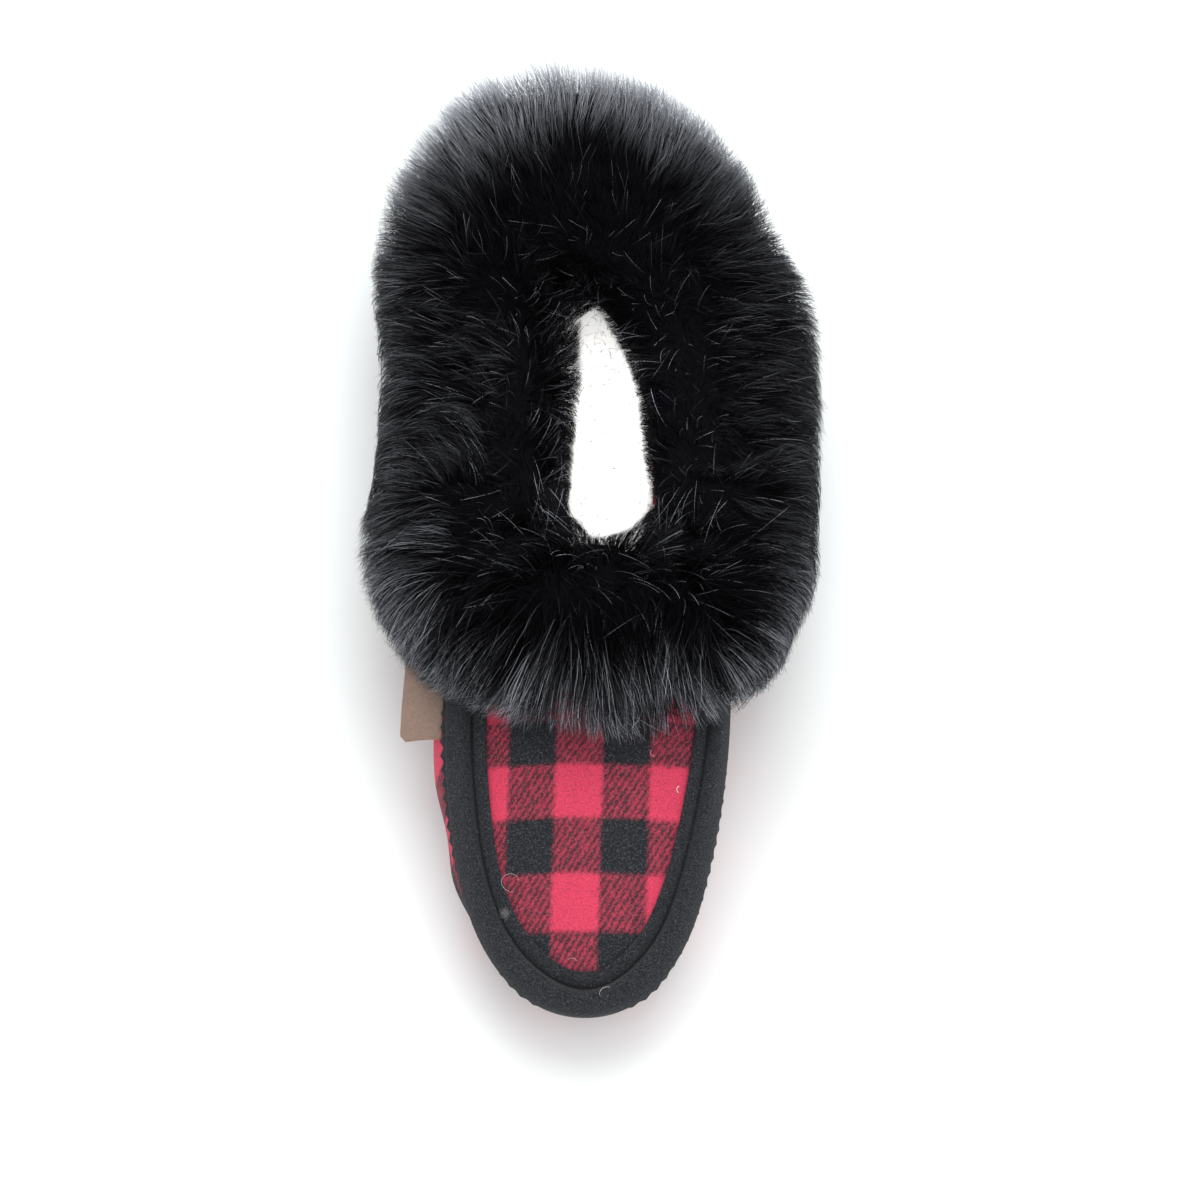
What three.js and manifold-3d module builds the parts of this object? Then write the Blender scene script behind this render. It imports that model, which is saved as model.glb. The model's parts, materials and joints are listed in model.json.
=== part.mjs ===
// Right moccasin slipper: a plaid wool shell wrapped up round the foot, a U-shaped vamp plug, a rolled
// felt trim with a pinked strip under it, a deep fur collar, a leather side label, a padded insole and a
// thin rubber outsole. Millimetres, +Z up. The toe points to -Y and the outer side of the foot is -X.

import * as THREE from "three";
import { mergeVertices } from "three/addons/utils/BufferGeometryUtils.js";
import Module from "manifold-3d";

const wasm = await Module();
wasm.setup();

// Driving dimensions
const SHELL_LENGTH = 262; // outside of the wool, toe to heel
const BALL_WIDTH = 89; // outside of the wool, at the ball of the foot
const COLLAR_HEIGHT = 65; // floor to the seam at the throat
const TOE_TO_ORIGIN = 144.9; // the origin lies under the middle of the whole slipper
const AXIS_TO_ORIGIN = 4.75; // the collar is fuller on the inner side
const WALL = 3; // wool with its fleece lining
const SEAT_GAP = 0.3; // between any two pieces that touch
const MARGIN_WIDTH = 9; // wool turned in under the foot
const PLUG_CROWN = 8; // rise of the vamp plug over its two seams, at the throat

const SOLE_THICKNESS = 5;
const SOLE_CHAMFER = 1;
const TOE_SPRING = 7;
const SPRING_START = 0.2; // share of the length where the toe starts to rise
const ARCH_RISE = 1.4;
const ARCH_CENTRE = 0.56; // shares of the length
const ARCH_HALF = 0.13;
const TREAD_DEPTH = 1.2;
const TREAD_WIDTH = 2.6;
const TREAD_PITCH = 9;
const TREAD_BORDER = 7;
const INSOLE_THICKNESS = 6;
const INSOLE_CLEARANCE = 1.5; // in from the edge of the sole

const TRIM_INNER = 4.2; // felt that lies on the plug
const TRIM_OUTER = 9.2; // rolled band that lies over the side, at the toe
const TRIM_OUTER_THROAT = 7.8; // the same band where it ends under the fur
const TRIM_FELT = 1.1; // thickness of one layer of felt
const TRIM_RIDGE = 4.5; // crest of the roll over the wool, at the toe
const TRIM_RIDGE_THROAT = 3.2;
const PINKED_ROOT = 5.2; // seam to the strip's inner edge
const PINKED_SHOWING = 2.2; // edge of the band to the middle of the teeth
const TOOTH_PITCH = 4.2;
const TOOTH_DEPTH = 1.5;

const LABEL_LENGTH = 27;
const LABEL_REACH = 12.5;
const LABEL_DROOP = 2.6;
const LABEL_THICKNESS = 1.4;
const LABEL_CORNER = 1.6;
const LABEL_FRONT = 0.296; // share of the length where its front edge is sewn in
const LABEL_ROOT_BEVEL = 1.05; // its lower face starts this much further out

const FUR_REACH = 35; // rim to the hair tips outside, at the sides
const FUR_INNER = 27; // rim to the hair tips inside
const FUR_RISE = 18; // rim to the hair tips on top
const FUR_DROP = 30; // rim down to the hem outside
const FUR_LINING = 30; // rim down to the hem inside
const FUR_SPINE = 38; // throat and heel to the line that the hair stands away from
const LOCK_STAND = 6; // how far the locks stand out of the pelt's body
const LOCK_LENGTH = 20;
const LOCK_WIDTH = 13;
const LOCK_THICKNESS = 7;
const LOCK_ROOT_DEPTH = 3; // how far a lock starts inside the pelt's body
const FUR_CUT_DEPTH = 14; // clearance cut under the plug, so that no hair is left below it

// The shell's sections from toe to heel. y is a share of SHELL_LENGTH, x and swing of half of BALL_WIDTH, on
// the outer (Out) and inner (In) side, and z of COLLAR_HEIGHT. sole is the edge of the outsole, wide is where
// the side stands out furthest, rim is the plug's seam and then the collar. swing moves a section sideways,
// and shoulder is how square the side turns in.
const SECTIONS = [
  { name: "toe tip", soleY: 0.05, soleOut: 0, soleIn: 0, wideY: 0, wideZ: 0.44, wideOut: 0, wideIn: 0,
    rimY: 0.019, rimZ: 0.55, rimOut: 0, rimIn: 0, swing: 0.03, shoulder: 0.88 },
  { name: "toe corner", soleY: 0.063, soleOut: 0.3, soleIn: 0.31, wideY: 0.013, wideZ: 0.45, wideOut: 0.36,
    wideIn: 0.37, rimY: 0.031, rimZ: 0.562, rimOut: 0.22, rimIn: 0.22, swing: 0.03, shoulder: 0.88 },
  { name: "toe side", soleY: 0.106, soleOut: 0.52, soleIn: 0.54, wideY: 0.063, wideZ: 0.47, wideOut: 0.61,
    wideIn: 0.62, rimY: 0.071, rimZ: 0.595, rimOut: 0.45, rimIn: 0.455, swing: 0.02, shoulder: 0.87 },
  { name: "toe base", soleY: 0.172, soleOut: 0.66, soleIn: 0.68, wideY: 0.145, wideZ: 0.51, wideOut: 0.805,
    wideIn: 0.82, rimY: 0.14, rimZ: 0.66, rimOut: 0.61, rimIn: 0.635, swing: 0.01, shoulder: 0.85 },
  { name: "ball", soleY: 0.29, soleOut: 0.8, soleIn: 0.8, wideY: 0.282, wideZ: 0.56, wideOut: 0.98,
    wideIn: 0.975, rimY: 0.275, rimZ: 0.8, rimOut: 0.7, rimIn: 0.81, swing: 0, shoulder: 0.82 },
  { name: "throat", soleY: 0.427, soleOut: 0.755, soleIn: 0.7, wideY: 0.427, wideZ: 0.57, wideOut: 0.985,
    wideIn: 0.975, rimY: 0.427, rimZ: 1, rimOut: 0.67, rimIn: 0.865, swing: 0, shoulder: 0.75 },
  { name: "waist", soleY: 0.573, soleOut: 0.69, soleIn: 0.6, wideY: 0.573, wideZ: 0.51, wideOut: 0.92,
    wideIn: 0.885, rimY: 0.573, rimZ: 0.94, rimOut: 0.735, rimIn: 0.79, swing: 0, shoulder: 0.55 },
  { name: "heel front", soleY: 0.725, soleOut: 0.665, soleIn: 0.61, wideY: 0.725, wideZ: 0.46, wideOut: 0.87,
    wideIn: 0.86, rimY: 0.733, rimZ: 0.9, rimOut: 0.69, rimIn: 0.76, swing: -0.05, shoulder: 0.5 },
  { name: "heel side", soleY: 0.863, soleOut: 0.605, soleIn: 0.585, wideY: 0.878, wideZ: 0.43, wideOut: 0.775,
    wideIn: 0.785, rimY: 0.863, rimZ: 0.94, rimOut: 0.555, rimIn: 0.6, swing: -0.11, shoulder: 0.5 },
  { name: "heel corner", soleY: 0.945, soleOut: 0.35, soleIn: 0.35, wideY: 0.966, wideZ: 0.415, wideOut: 0.46,
    wideIn: 0.47, rimY: 0.932, rimZ: 1.0, rimOut: 0.31, rimIn: 0.33, swing: -0.14, shoulder: 0.5 },
  { name: "heel back", soleY: 0.972, soleOut: 0, soleIn: 0, wideY: 1, wideZ: 0.41, wideOut: 0, wideIn: 0,
    rimY: 0.958, rimZ: 1.03, rimOut: 0, rimIn: 0, swing: -0.15, shoulder: 0.5 },
];
const THROAT_ROW = SECTIONS.findIndex((s) => s.name === "throat");
const LOOP_ROWS = 2 * (SECTIONS.length - 1);
const THROAT_U = THROAT_ROW / LOOP_ROWS;

// Parameters up the side: the turned-in margin, then the lower curve, then the upper one
const MARGIN_T = 0.14;
const WIDE_T = 0.52;

const lerp = (a, b, w) => a + (b - a) * w;
const wrap = (u) => ((u % 1) + 1) % 1;
const smooth = (w) => w * w * (3 - 2 * w);
// Even, repeatable scatter between 0 and 1
const SCATTER_TURN = 12.9898;
const SCATTER_SCALE = 43758.5453;
const scatter = (n) => wrap(Math.sin(n * SCATTER_TURN) * SCATTER_SCALE);
const clamp01 = (w) => Math.min(1, Math.max(0, w));

// Height of the outsole's underside: flat at the ball and the heel, with toe spring and a low arch
function soleBottom(y) {
  const share = (y + TOE_TO_ORIGIN) / SHELL_LENGTH;
  const spring = clamp01((SPRING_START - share) / SPRING_START);
  const arch = clamp01(1 - Math.abs(share - ARCH_CENTRE) / ARCH_HALF);
  return TOE_SPRING * spring * spring + ARCH_RISE * smooth(arch);
}
const soleTop = (y) => soleBottom(y) + SOLE_THICKNESS;

// One closed line round the shell through the sections: toe, outer side, heel, inner side
function loopThrough(kind) {
  const point = (s, side) =>
    new THREE.Vector3(
      ((side * s[kind + (side < 0 ? "Out" : "In")] + s.swing) * BALL_WIDTH) / 2 - AXIS_TO_ORIGIN,
      s[kind + "Y"] * SHELL_LENGTH - TOE_TO_ORIGIN,
      kind === "sole" ? 0 : s[kind + "Z"] * COLLAR_HEIGHT,
    );
  const outer = SECTIONS.map((s) => point(s, -1));
  const inner = SECTIONS.slice(1, -1).reverse().map((s) => point(s, 1));
  return new THREE.CatmullRomCurve3([...outer, ...inner], true, "centripetal");
}
const soleLoop = loopThrough("sole");
const wideLoop = loopThrough("wide");
const rimLoop = loopThrough("rim");

function shoulderAt(u) {
  const row = wrap(u) * LOOP_ROWS;
  const folded = Math.min(row, LOOP_ROWS - row);
  const low = Math.min(Math.floor(folded), SECTIONS.length - 2);
  return lerp(SECTIONS[low].shoulder, SECTIONS[low + 1].shoulder, smooth(folded - low));
}

// A point on the sole's outline, moved in by inset, at the height of the sole's top
function soleEdge(u, inset = 0) {
  const step = 1e-3;
  const along = soleLoop.getPoint(wrap(u + step)).sub(soleLoop.getPoint(wrap(u - step))).normalize();
  const p = soleLoop.getPoint(wrap(u));
  p.x += along.y * inset;
  p.y -= along.x * inset;
  p.z = soleTop(p.y);
  return p;
}

function bezier(a, b, c, w) {
  const v = a.clone().multiplyScalar((1 - w) * (1 - w));
  return v.addScaledVector(b, 2 * w * (1 - w)).addScaledVector(c, w * w);
}

// The outer skin of the shell: u runs round it and t runs from under the foot up to the rim
function skin(u, t) {
  const lift = new THREE.Vector3(0, 0, SEAT_GAP);
  if (t < MARGIN_T) return soleEdge(u, MARGIN_WIDTH * (1 - t / MARGIN_T)).add(lift);
  const foot = soleEdge(u).add(lift);
  const wide = wideLoop.getPoint(wrap(u));
  if (t < WIDE_T) {
    const corner = new THREE.Vector3(wide.x, wide.y, foot.z);
    return bezier(foot, corner, wide, (t - MARGIN_T) / (WIDE_T - MARGIN_T));
  }
  const rim = rimLoop.getPoint(wrap(u));
  const corner = new THREE.Vector3(wide.x, wide.y, lerp(wide.z, rim.z, shoulderAt(u)));
  return bezier(wide, corner, rim, (t - WIDE_T) / (1 - WIDE_T));
}

function skinNormal(u, t) {
  const step = 2e-3;
  const round = skin(u + step, t).sub(skin(u - step, t));
  const up = skin(u, Math.min(1, t + step)).sub(skin(u, Math.max(0, t - step)));
  return up.cross(round).normalize();
}

// Direction at the rim in which the side goes on over the opening
const rimInward = (u) => skin(u, 1).sub(skin(u, 0.98)).normalize();

// A closed solid from rings of points. closed joins the last ring to the first, otherwise both ends are
// capped by the triangles of a cross-section. Triangles that have shrunk to nothing are dropped.
function solidFromRings(rings, { closed = false, caps = null } = {}) {
  const across = rings[0].length;
  const positions = rings.flat().flatMap((p) => [p.x, p.y, p.z]);
  const faces = [];
  const lastRing = closed ? rings.length : rings.length - 1;
  for (let i = 0; i < lastRing; i++) {
    const next = (i + 1) % rings.length;
    for (let j = 0; j < across; j++) {
      const k = (j + 1) % across;
      const [a, b, c, d] = [i * across + j, i * across + k, next * across + k, next * across + j];
      faces.push([a, b, c], [a, c, d]);
    }
  }
  if (!closed) {
    const end = (rings.length - 1) * across;
    for (const [a, b, c] of caps) faces.push([c, b, a], [end + a, end + b, end + c]);
  }
  return solidFromFaces(positions, faces);
}

function solidFromFaces(positions, faces) {
  const geometry = new THREE.BufferGeometry();
  geometry.setAttribute("position", new THREE.BufferAttribute(new Float32Array(positions), 3));
  geometry.setIndex(faces.flat());
  const merged = mergeVertices(geometry, 1e-3);
  const index = merged.index.array;
  const kept = [];
  for (let i = 0; i < index.length; i += 3) {
    const [a, b, c] = [index[i], index[i + 1], index[i + 2]];
    if (a !== b && b !== c && c !== a) kept.push(a, b, c);
  }
  const mesh = { numProp: 3, vertProperties: merged.attributes.position.array };
  const made = new wasm.Manifold(new wasm.Mesh({ ...mesh, triVerts: new Uint32Array(kept) }));
  if (made.volume() > 0) return made;
  kept.reverse();
  return new wasm.Manifold(new wasm.Mesh({ ...mesh, triVerts: new Uint32Array(kept) }));
}

// Cap of a cross-section whose first half runs one way and whose second half runs back beside it
function ladderCap(count) {
  const faces = [];
  for (let i = 0, j = count - 1; j - i > 1; i++, j--) {
    faces.push([i, i + 1, j]);
    if (j - i > 2) faces.push([i + 1, j - 1, j]);
  }
  return faces;
}

// Even steps round the whole loop
const roundLoop = (steps) => Array.from({ length: steps }, (_, i) => i / steps);

// The wool side: one hollow wall, open over the foot and underneath
const SIDE_STEPS = 60;
const SIDE_HEIGHTS = [0, MARGIN_T, 0.22, 0.35, WIDE_T, 0.64, 0.75, 0.84, 0.92, 1];

function sideWall({ outside = 0, inside = WALL, over = 0 } = {}) {
  const rings = roundLoop(SIDE_STEPS).map((u) => {
    const skins = SIDE_HEIGHTS.map((t) => [skin(u, t), skinNormal(u, t)]);
    skins[skins.length - 1][0].addScaledVector(rimInward(u), over);
    const outer = skins.map(([p, n]) => p.clone().addScaledVector(n, outside));
    const inner = skins.map(([p, n]) => p.clone().addScaledVector(n, -inside));
    return [...outer, ...inner.reverse()];
  });
  return solidFromRings(rings, { closed: true });
}

// The plug's upper face. u is the row, from 0 at the toe to THROAT_U, and w runs across it
function plugEdge(u) {
  return skin(u, 1).addScaledVector(rimInward(u), SEAT_GAP);
}

function plugTop(u, w) {
  const [a, b] = [plugEdge(u), plugEdge(1 - u)];
  const crown = PLUG_CROWN * Math.pow(clamp01(u / THROAT_U), 1.1);
  const p = a.lerp(b, w);
  p.z += crown * 4 * w * (1 - w);
  return p;
}

function plugNormal(u, w) {
  const step = 4e-3;
  const row = Math.max(u, 2 * step);
  const along = plugTop(Math.min(THROAT_U, row + step), w).sub(plugTop(row - step, w));
  const across = plugTop(row, Math.min(1, w + step)).sub(plugTop(row, Math.max(0, w - step)));
  return across.cross(along).normalize();
}

// Height of the plug's upper face over a point of the floor
function plugHeight(x, y) {
  let [low, high] = [0, THROAT_U];
  for (let i = 0; i < 24; i++) {
    const middle = (low + high) / 2;
    if ((plugEdge(middle).y + plugEdge(1 - middle).y) / 2 < y) low = middle;
    else high = middle;
  }
  const [a, b] = [plugEdge(low), plugEdge(1 - low)];
  return plugTop(low, clamp01((x - a.x) / Math.max(b.x - a.x, 1e-6))).z;
}

const PLUG_ROWS = 15;
const PLUG_COLUMNS = 10;

function plugPanel({ above = 0, thickness = WALL, behind = 0 } = {}) {
  const rings = [];
  for (let i = 0; i <= PLUG_ROWS; i++) {
    const u = THROAT_U * Math.pow(i / PLUG_ROWS, 1.2);
    const top = [];
    const bottom = [];
    for (let j = 0; j <= PLUG_COLUMNS; j++) {
      const w = j / PLUG_COLUMNS;
      const p = plugTop(u, w);
      let n = plugNormal(u, w);
      if (i === 0) n = skinNormal(0, 1);
      else if (j === 0) n = skinNormal(u, 1);
      else if (j === PLUG_COLUMNS) n = skinNormal(1 - u, 1);
      if (i === PLUG_ROWS) p.y += behind;
      top.push(p.clone().addScaledVector(n, above));
      bottom.push(p.clone().addScaledVector(n, -thickness));
    }
    rings.push([...top, ...bottom.reverse()]);
  }
  return solidFromRings(rings, { caps: ladderCap(rings[0].length) });
}

// A point at distance s across the seam, down the side where s is positive and on the plug where it is
// negative, and at height h over the wool. q runs from the throat's inner side through 0 at the toe.
function overSeam(q, s, h) {
  const u = wrap(q);
  if (s <= 0) {
    const p = skin(u, 1).addScaledVector(rimInward(u), -s);
    if (s < 0) p.z = plugHeight(p.x, p.y);
    return p.addScaledVector(skinNormal(u, 1), h);
  }
  const step = 0.01;
  let [t, walked] = [1, 0];
  let here = skin(u, t);
  while (walked < s && t > MARGIN_T) {
    const next = skin(u, t - step);
    const stride = next.distanceTo(here);
    if (walked + stride >= s) {
      t -= (step * (s - walked)) / stride;
      break;
    }
    walked += stride;
    t -= step;
    here = next;
  }
  return skin(u, t).addScaledVector(skinNormal(u, t), h);
}

// Places along the seam at even distances, as values of q. The trim ends under the fur.
const TRIM_END = THROAT_U * 0.93;
function alongSeam(steps, s) {
  const samples = 160;
  const places = Array.from({ length: samples + 1 }, (_, i) => lerp(-TRIM_END, TRIM_END, i / samples));
  const points = places.map((q) => overSeam(q, s, 0));
  const walked = [0];
  for (let i = 1; i <= samples; i++) walked.push(walked[i - 1] + points[i].distanceTo(points[i - 1]));
  const length = walked[samples];
  const count = typeof steps === "function" ? steps(length) : steps;
  return Array.from({ length: count + 1 }, (_, i) => {
    const target = (length * i) / count;
    const next = Math.min(samples, Math.max(1, walked.findIndex((d) => d >= target - 1e-9)));
    const w = (target - walked[next - 1]) / (walked[next] - walked[next - 1]);
    return lerp(places[next - 1], places[next], clamp01(w));
  });
}

// A solid swept along the seam. The profile is a list of [distance across the seam, height over the wool].
// Where it is a cutter, grow also moves its two ends out.
function sweepSeam(places, profileAt, grow = 0) {
  const rings = places.map((q, i) => profileAt(q, i).map(([s, h]) => overSeam(q, s, h)));
  const last = rings.length - 1;
  for (const [end, next] of [[0, 1], [last, last - 1]]) {
    const out = rings[end][0].clone().sub(rings[next][0]).setLength(grow);
    rings[end].forEach((p) => p.add(out));
  }
  const outline = profileAt(places[0], 0).map(([s, h]) => new THREE.Vector2(s, h));
  const caps = THREE.ShapeUtils.triangulateShape(outline, []).map((face) => face.sort((a, b) => a - b));
  return solidFromRings(rings, { caps });
}

// The rolled felt band: a flat flange on the plug, a groove over the seam, a round roll, and a tail over the
// pinked strip. The groove's edges and the roll are shares of the band's own sizes.
const PINKED_TOP = SEAT_GAP + TRIM_FELT;
const TRIM_STEPS = 50;
const GROOVE_EDGE = 0.3; // of the flange
const GROOVE_WIDTH = 0.09; // of the band
const GROOVE_FLOOR = 0.35; // of one layer of felt
const ROLL = [
  [0.13, 0.7],
  [0.22, 0.95],
  [0.4, 1],
  [0.7, 0.86],
];

const trimOuterAt = (q) => lerp(TRIM_OUTER, TRIM_OUTER_THROAT, Math.abs(q) / TRIM_END);
const trimRidgeAt = (q) => lerp(TRIM_RIDGE, TRIM_RIDGE_THROAT, Math.abs(q) / TRIM_END);
const pinkedReachAt = (q) => trimOuterAt(q) + PINKED_SHOWING;

function trimBand(grow = 0) {
  const bed = SEAT_GAP - grow;
  const step = PINKED_ROOT - SEAT_GAP + grow;
  const tailBed = PINKED_TOP + SEAT_GAP - grow;
  const flangeTop = SEAT_GAP + TRIM_FELT + grow;
  const grooveFloor = SEAT_GAP + GROOVE_FLOOR * TRIM_FELT + grow;
  const profileAt = (q) => {
    const outer = trimOuterAt(q);
    return [
      [-TRIM_INNER - grow, bed],
      [-TRIM_INNER - grow, flangeTop],
      [-GROOVE_EDGE * TRIM_INNER, flangeTop],
      [0, grooveFloor],
      [GROOVE_WIDTH * outer, grooveFloor],
      ...ROLL.map(([s, h]) => [s * outer, h * trimRidgeAt(q) + grow]),
      [outer + grow, tailBed + TRIM_FELT + grow],
      [outer + grow, tailBed],
      [0.5 * (outer + step), tailBed],
      [step, tailBed],
      [step, bed],
      [0.5 * step, bed],
      [0, bed],
    ];
  };
  return sweepSeam(alongSeam(TRIM_STEPS, TRIM_RIDGE), profileAt, grow);
}

// The pinked strip: one layer of felt on the wool, its outer edge cut into teeth
function pinkedStrip(grow = 0) {
  const halfTeeth = (length) => 2 * Math.round(length / TOOTH_PITCH);
  const profileAt = (q, i) => {
    const edge = pinkedReachAt(q) + (i % 2 ? 0.5 : -0.5) * TOOTH_DEPTH + grow;
    const middle = 0.5 * (PINKED_ROOT + edge);
    return [
      [PINKED_ROOT - grow, SEAT_GAP - grow],
      [PINKED_ROOT - grow, PINKED_TOP + grow],
      [edge, PINKED_TOP + grow],
      [edge, SEAT_GAP - grow],
      [middle, SEAT_GAP - grow],
    ];
  };
  return sweepSeam(alongSeam(halfTeeth, TRIM_OUTER + PINKED_SHOWING), profileAt, grow);
}

// The wool with its clearance, and the seam between side and plug filled up, as one cutter
function woolWithGap() {
  const seam = 4 * SEAT_GAP;
  const filler = [
    [-seam, -WALL],
    [-seam, SEAT_GAP],
    [seam, SEAT_GAP],
    [seam, -WALL],
  ];
  return wasm.Manifold.union([
    sideWall({ outside: SEAT_GAP, inside: WALL + SEAT_GAP, over: SEAT_GAP }),
    plugPanel({ above: SEAT_GAP, thickness: WALL + SEAT_GAP, behind: SEAT_GAP }),
    sweepSeam(alongSeam(TRIM_STEPS, 0), () => filler),
  ]);
}

// The leather label, sewn in under the strip on the outer side and standing out like a flag
function sideLabel(grow = 0) {
  const rootAt = (u) => pinkedReachAt(Math.min(u, TRIM_END)) + 0.5 * TOOTH_DEPTH + SEAT_GAP;
  const rowAt = (share) => {
    const along = LABEL_LENGTH * share + 2 * grow * (share - 0.5);
    const y = LABEL_FRONT * SHELL_LENGTH + along - TOE_TO_ORIGIN;
    let [low, high] = [0, THROAT_U * 1.3];
    for (let i = 0; i < 24; i++) {
      const middle = (low + high) / 2;
      if (overSeam(middle, rootAt(middle), 0).y < y) low = middle;
      else high = middle;
    }
    return low;
  };
  const lengthShares = [0, LABEL_CORNER / LABEL_LENGTH, 0.35, 0.65, 1 - LABEL_CORNER / LABEL_LENGTH, 1];
  const rings = lengthShares.map((share) => {
    const rounded = share === 0 || share === 1 ? LABEL_CORNER : 0;
    const row = rowAt(share);
    const from = overSeam(row, rootAt(row), SEAT_GAP);
    const line = [0, 0.33, 0.67, 1].map((w) => {
      const out = (LABEL_REACH + 3 * grow - rounded) * w - 2 * grow;
      return new THREE.Vector3(from.x - out, from.y, from.z - LABEL_DROOP * w * w + grow);
    });
    const lower = line.map((p) => p.clone().setZ(p.z - LABEL_THICKNESS - 2 * grow));
    lower[0].x -= LABEL_ROOT_BEVEL;
    return [...line, ...lower.reverse()];
  });
  return solidFromRings(rings, { caps: ladderCap(rings[0].length) });
}

// A plate of the sole's outline: rings of [inset, height over the sole's lower face] from below to above,
// closed by faces that run across from side to side
function plate(steps, levels) {
  const rings = levels.map(([inset, rise]) =>
    roundLoop(steps).map((u) => {
      const p = soleEdge(u, inset);
      p.z = soleBottom(p.y) + rise;
      return p;
    }),
  );
  const caps = [];
  for (let i = 0; i < steps / 2; i++) {
    const [a, b, c, d] = [i, i + 1, (steps - i - 1) % steps, (steps - i) % steps];
    if (b !== c) caps.push([a, b, c]);
    if (a !== d) caps.push([a, c, d]);
  }
  return solidFromRings(rings, { caps });
}

const SOLE_STEPS = 56;
// The tread's two patches, as shares of the length
const TREAD_PATCHES = [
  [0.17, 0.43],
  [0.71, 0.93],
];

function outsole() {
  let sole = plate(SOLE_STEPS, [
    [SOLE_CHAMFER, 0],
    [0, SOLE_CHAMFER],
    [0, SOLE_THICKNESS],
  ]);
  for (const [from, to] of TREAD_PATCHES) {
    const count = Math.floor(((to - from) * SHELL_LENGTH) / TREAD_PITCH);
    for (let i = 0; i < count; i++) {
      const y = lerp(from, to, (i + 0.5) / count) * SHELL_LENGTH - TOE_TO_ORIGIN;
      const [left, right] = soleSpan(y).map((x) => x - Math.sign(x) * TREAD_BORDER);
      const bar = new THREE.BoxGeometry(right - left, TREAD_WIDTH, 2 * TREAD_DEPTH);
      bar.translate((left + right) / 2, y, soleBottom(y));
      sole = sole.subtract(solidOf(bar));
    }
  }
  return sole;
}

// The outsole's two edges, as x, at a place along it
function soleSpan(y) {
  const edges = [1, -1].map((way) => {
    let [low, high] = [0, 0.5];
    for (let i = 0; i < 24; i++) {
      const middle = (low + high) / 2;
      if (soleLoop.getPoint(wrap(way * middle)).y < y) low = middle;
      else high = middle;
    }
    return soleLoop.getPoint(wrap(way * low)).x;
  });
  return edges;
}

function solidOf(geometry) {
  const flat = geometry.index ? geometry.toNonIndexed() : geometry;
  const positions = Array.from(flat.attributes.position.array);
  const count = positions.length / 9;
  return solidFromFaces(positions, Array.from({ length: count }, (_, i) => [3 * i, 3 * i + 1, 3 * i + 2]));
}

// The padded insole: its border lies on the turned-in wool and its middle on the outsole
const INSOLE_STEPS = 44;
const INSOLE_STEP_CLEARANCE = 1; // between its raised core and the turned-in wool
const INSOLE_SHOULDER = 0.6; // share of its thickness where the edge turns over
const INSOLE_ROUNDING = 2.5;

function insole() {
  const floor = SOLE_THICKNESS + SEAT_GAP;
  const shelf = floor + WALL + SEAT_GAP;
  const core = MARGIN_WIDTH + INSOLE_STEP_CLEARANCE;
  return plate(INSOLE_STEPS, [
    [core, floor],
    [core, shelf],
    [INSOLE_CLEARANCE, shelf],
    [INSOLE_CLEARANCE, shelf + INSOLE_SHOULDER * INSOLE_THICKNESS],
    [INSOLE_CLEARANCE + INSOLE_ROUNDING, shelf + INSOLE_THICKNESS],
  ]);
}

// The fur collar's sections round the opening, from the throat's middle by the outer side to the heel and
// back. Each is a share of the FUR_ sizes: out, inward, top, drop outside and lining inside.
const FUR_SECTIONS = [
  { name: "throat", out: 1.1, inward: 0.8, top: 1.0, drop: 0.4, lining: 0.5 },
  { name: "throat outer", out: 1.02, inward: 0.82, top: 1.0, drop: 0.46, lining: 0.5 },
  { name: "corner outer", out: 0.8, inward: 1.0, top: 1.05, drop: 0.68, lining: 0.7 },
  { name: "waist outer", out: 0.98, inward: 1.1, top: 1.08, drop: 0.98, lining: 0.9 },
  { name: "heel front outer", out: 0.9, inward: 1.1, top: 1.0, drop: 1.0, lining: 1.0 },
  { name: "heel side outer", out: 1.09, inward: 1.0, top: 1.0, drop: 1.0, lining: 1.0 },
  { name: "heel corner outer", out: 1.22, inward: 1.1, top: 1.0, drop: 1.04, lining: 1.0 },
  { name: "heel", out: 1.13, inward: 1.2, top: 1.0, drop: 1.06, lining: 1.0 },
  { name: "heel corner inner", out: 1.36, inward: 1.1, top: 1.0, drop: 1.04, lining: 1.0 },
  { name: "heel side inner", out: 1.3, inward: 0.9, top: 1.0, drop: 1.0, lining: 1.0 },
  { name: "heel front inner", out: 1.28, inward: 0.75, top: 1.05, drop: 1.0, lining: 1.0 },
  { name: "waist inner", out: 1.14, inward: 0.7, top: 1.06, drop: 0.98, lining: 0.9 },
  { name: "corner inner", out: 0.91, inward: 0.8, top: 1.04, drop: 0.68, lining: 0.7 },
  { name: "throat inner", out: 1.02, inward: 0.82, top: 1.0, drop: 0.46, lining: 0.5 },
];

// The collar's edge: the plug's rear edge and then the shell's rim
const collarPoints = [
  plugTop(THROAT_U, 0.5),
  plugTop(THROAT_U, 0.22),
  ...[5, 6, 7, 8, 9, 10, 11, 12, 13, 14, 15].map((row) => rimLoop.getPoint(row / LOOP_ROWS)),
  plugTop(THROAT_U, 0.78),
];
const collarLoop = new THREE.CatmullRomCurve3(collarPoints, true, "centripetal");

function furColumn(f, column) {
  const row = wrap(f) * FUR_SECTIONS.length;
  const low = Math.floor(row) % FUR_SECTIONS.length;
  const high = (low + 1) % FUR_SECTIONS.length;
  return lerp(FUR_SECTIONS[low][column], FUR_SECTIONS[high][column], smooth(row - Math.floor(row)));
}

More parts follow.
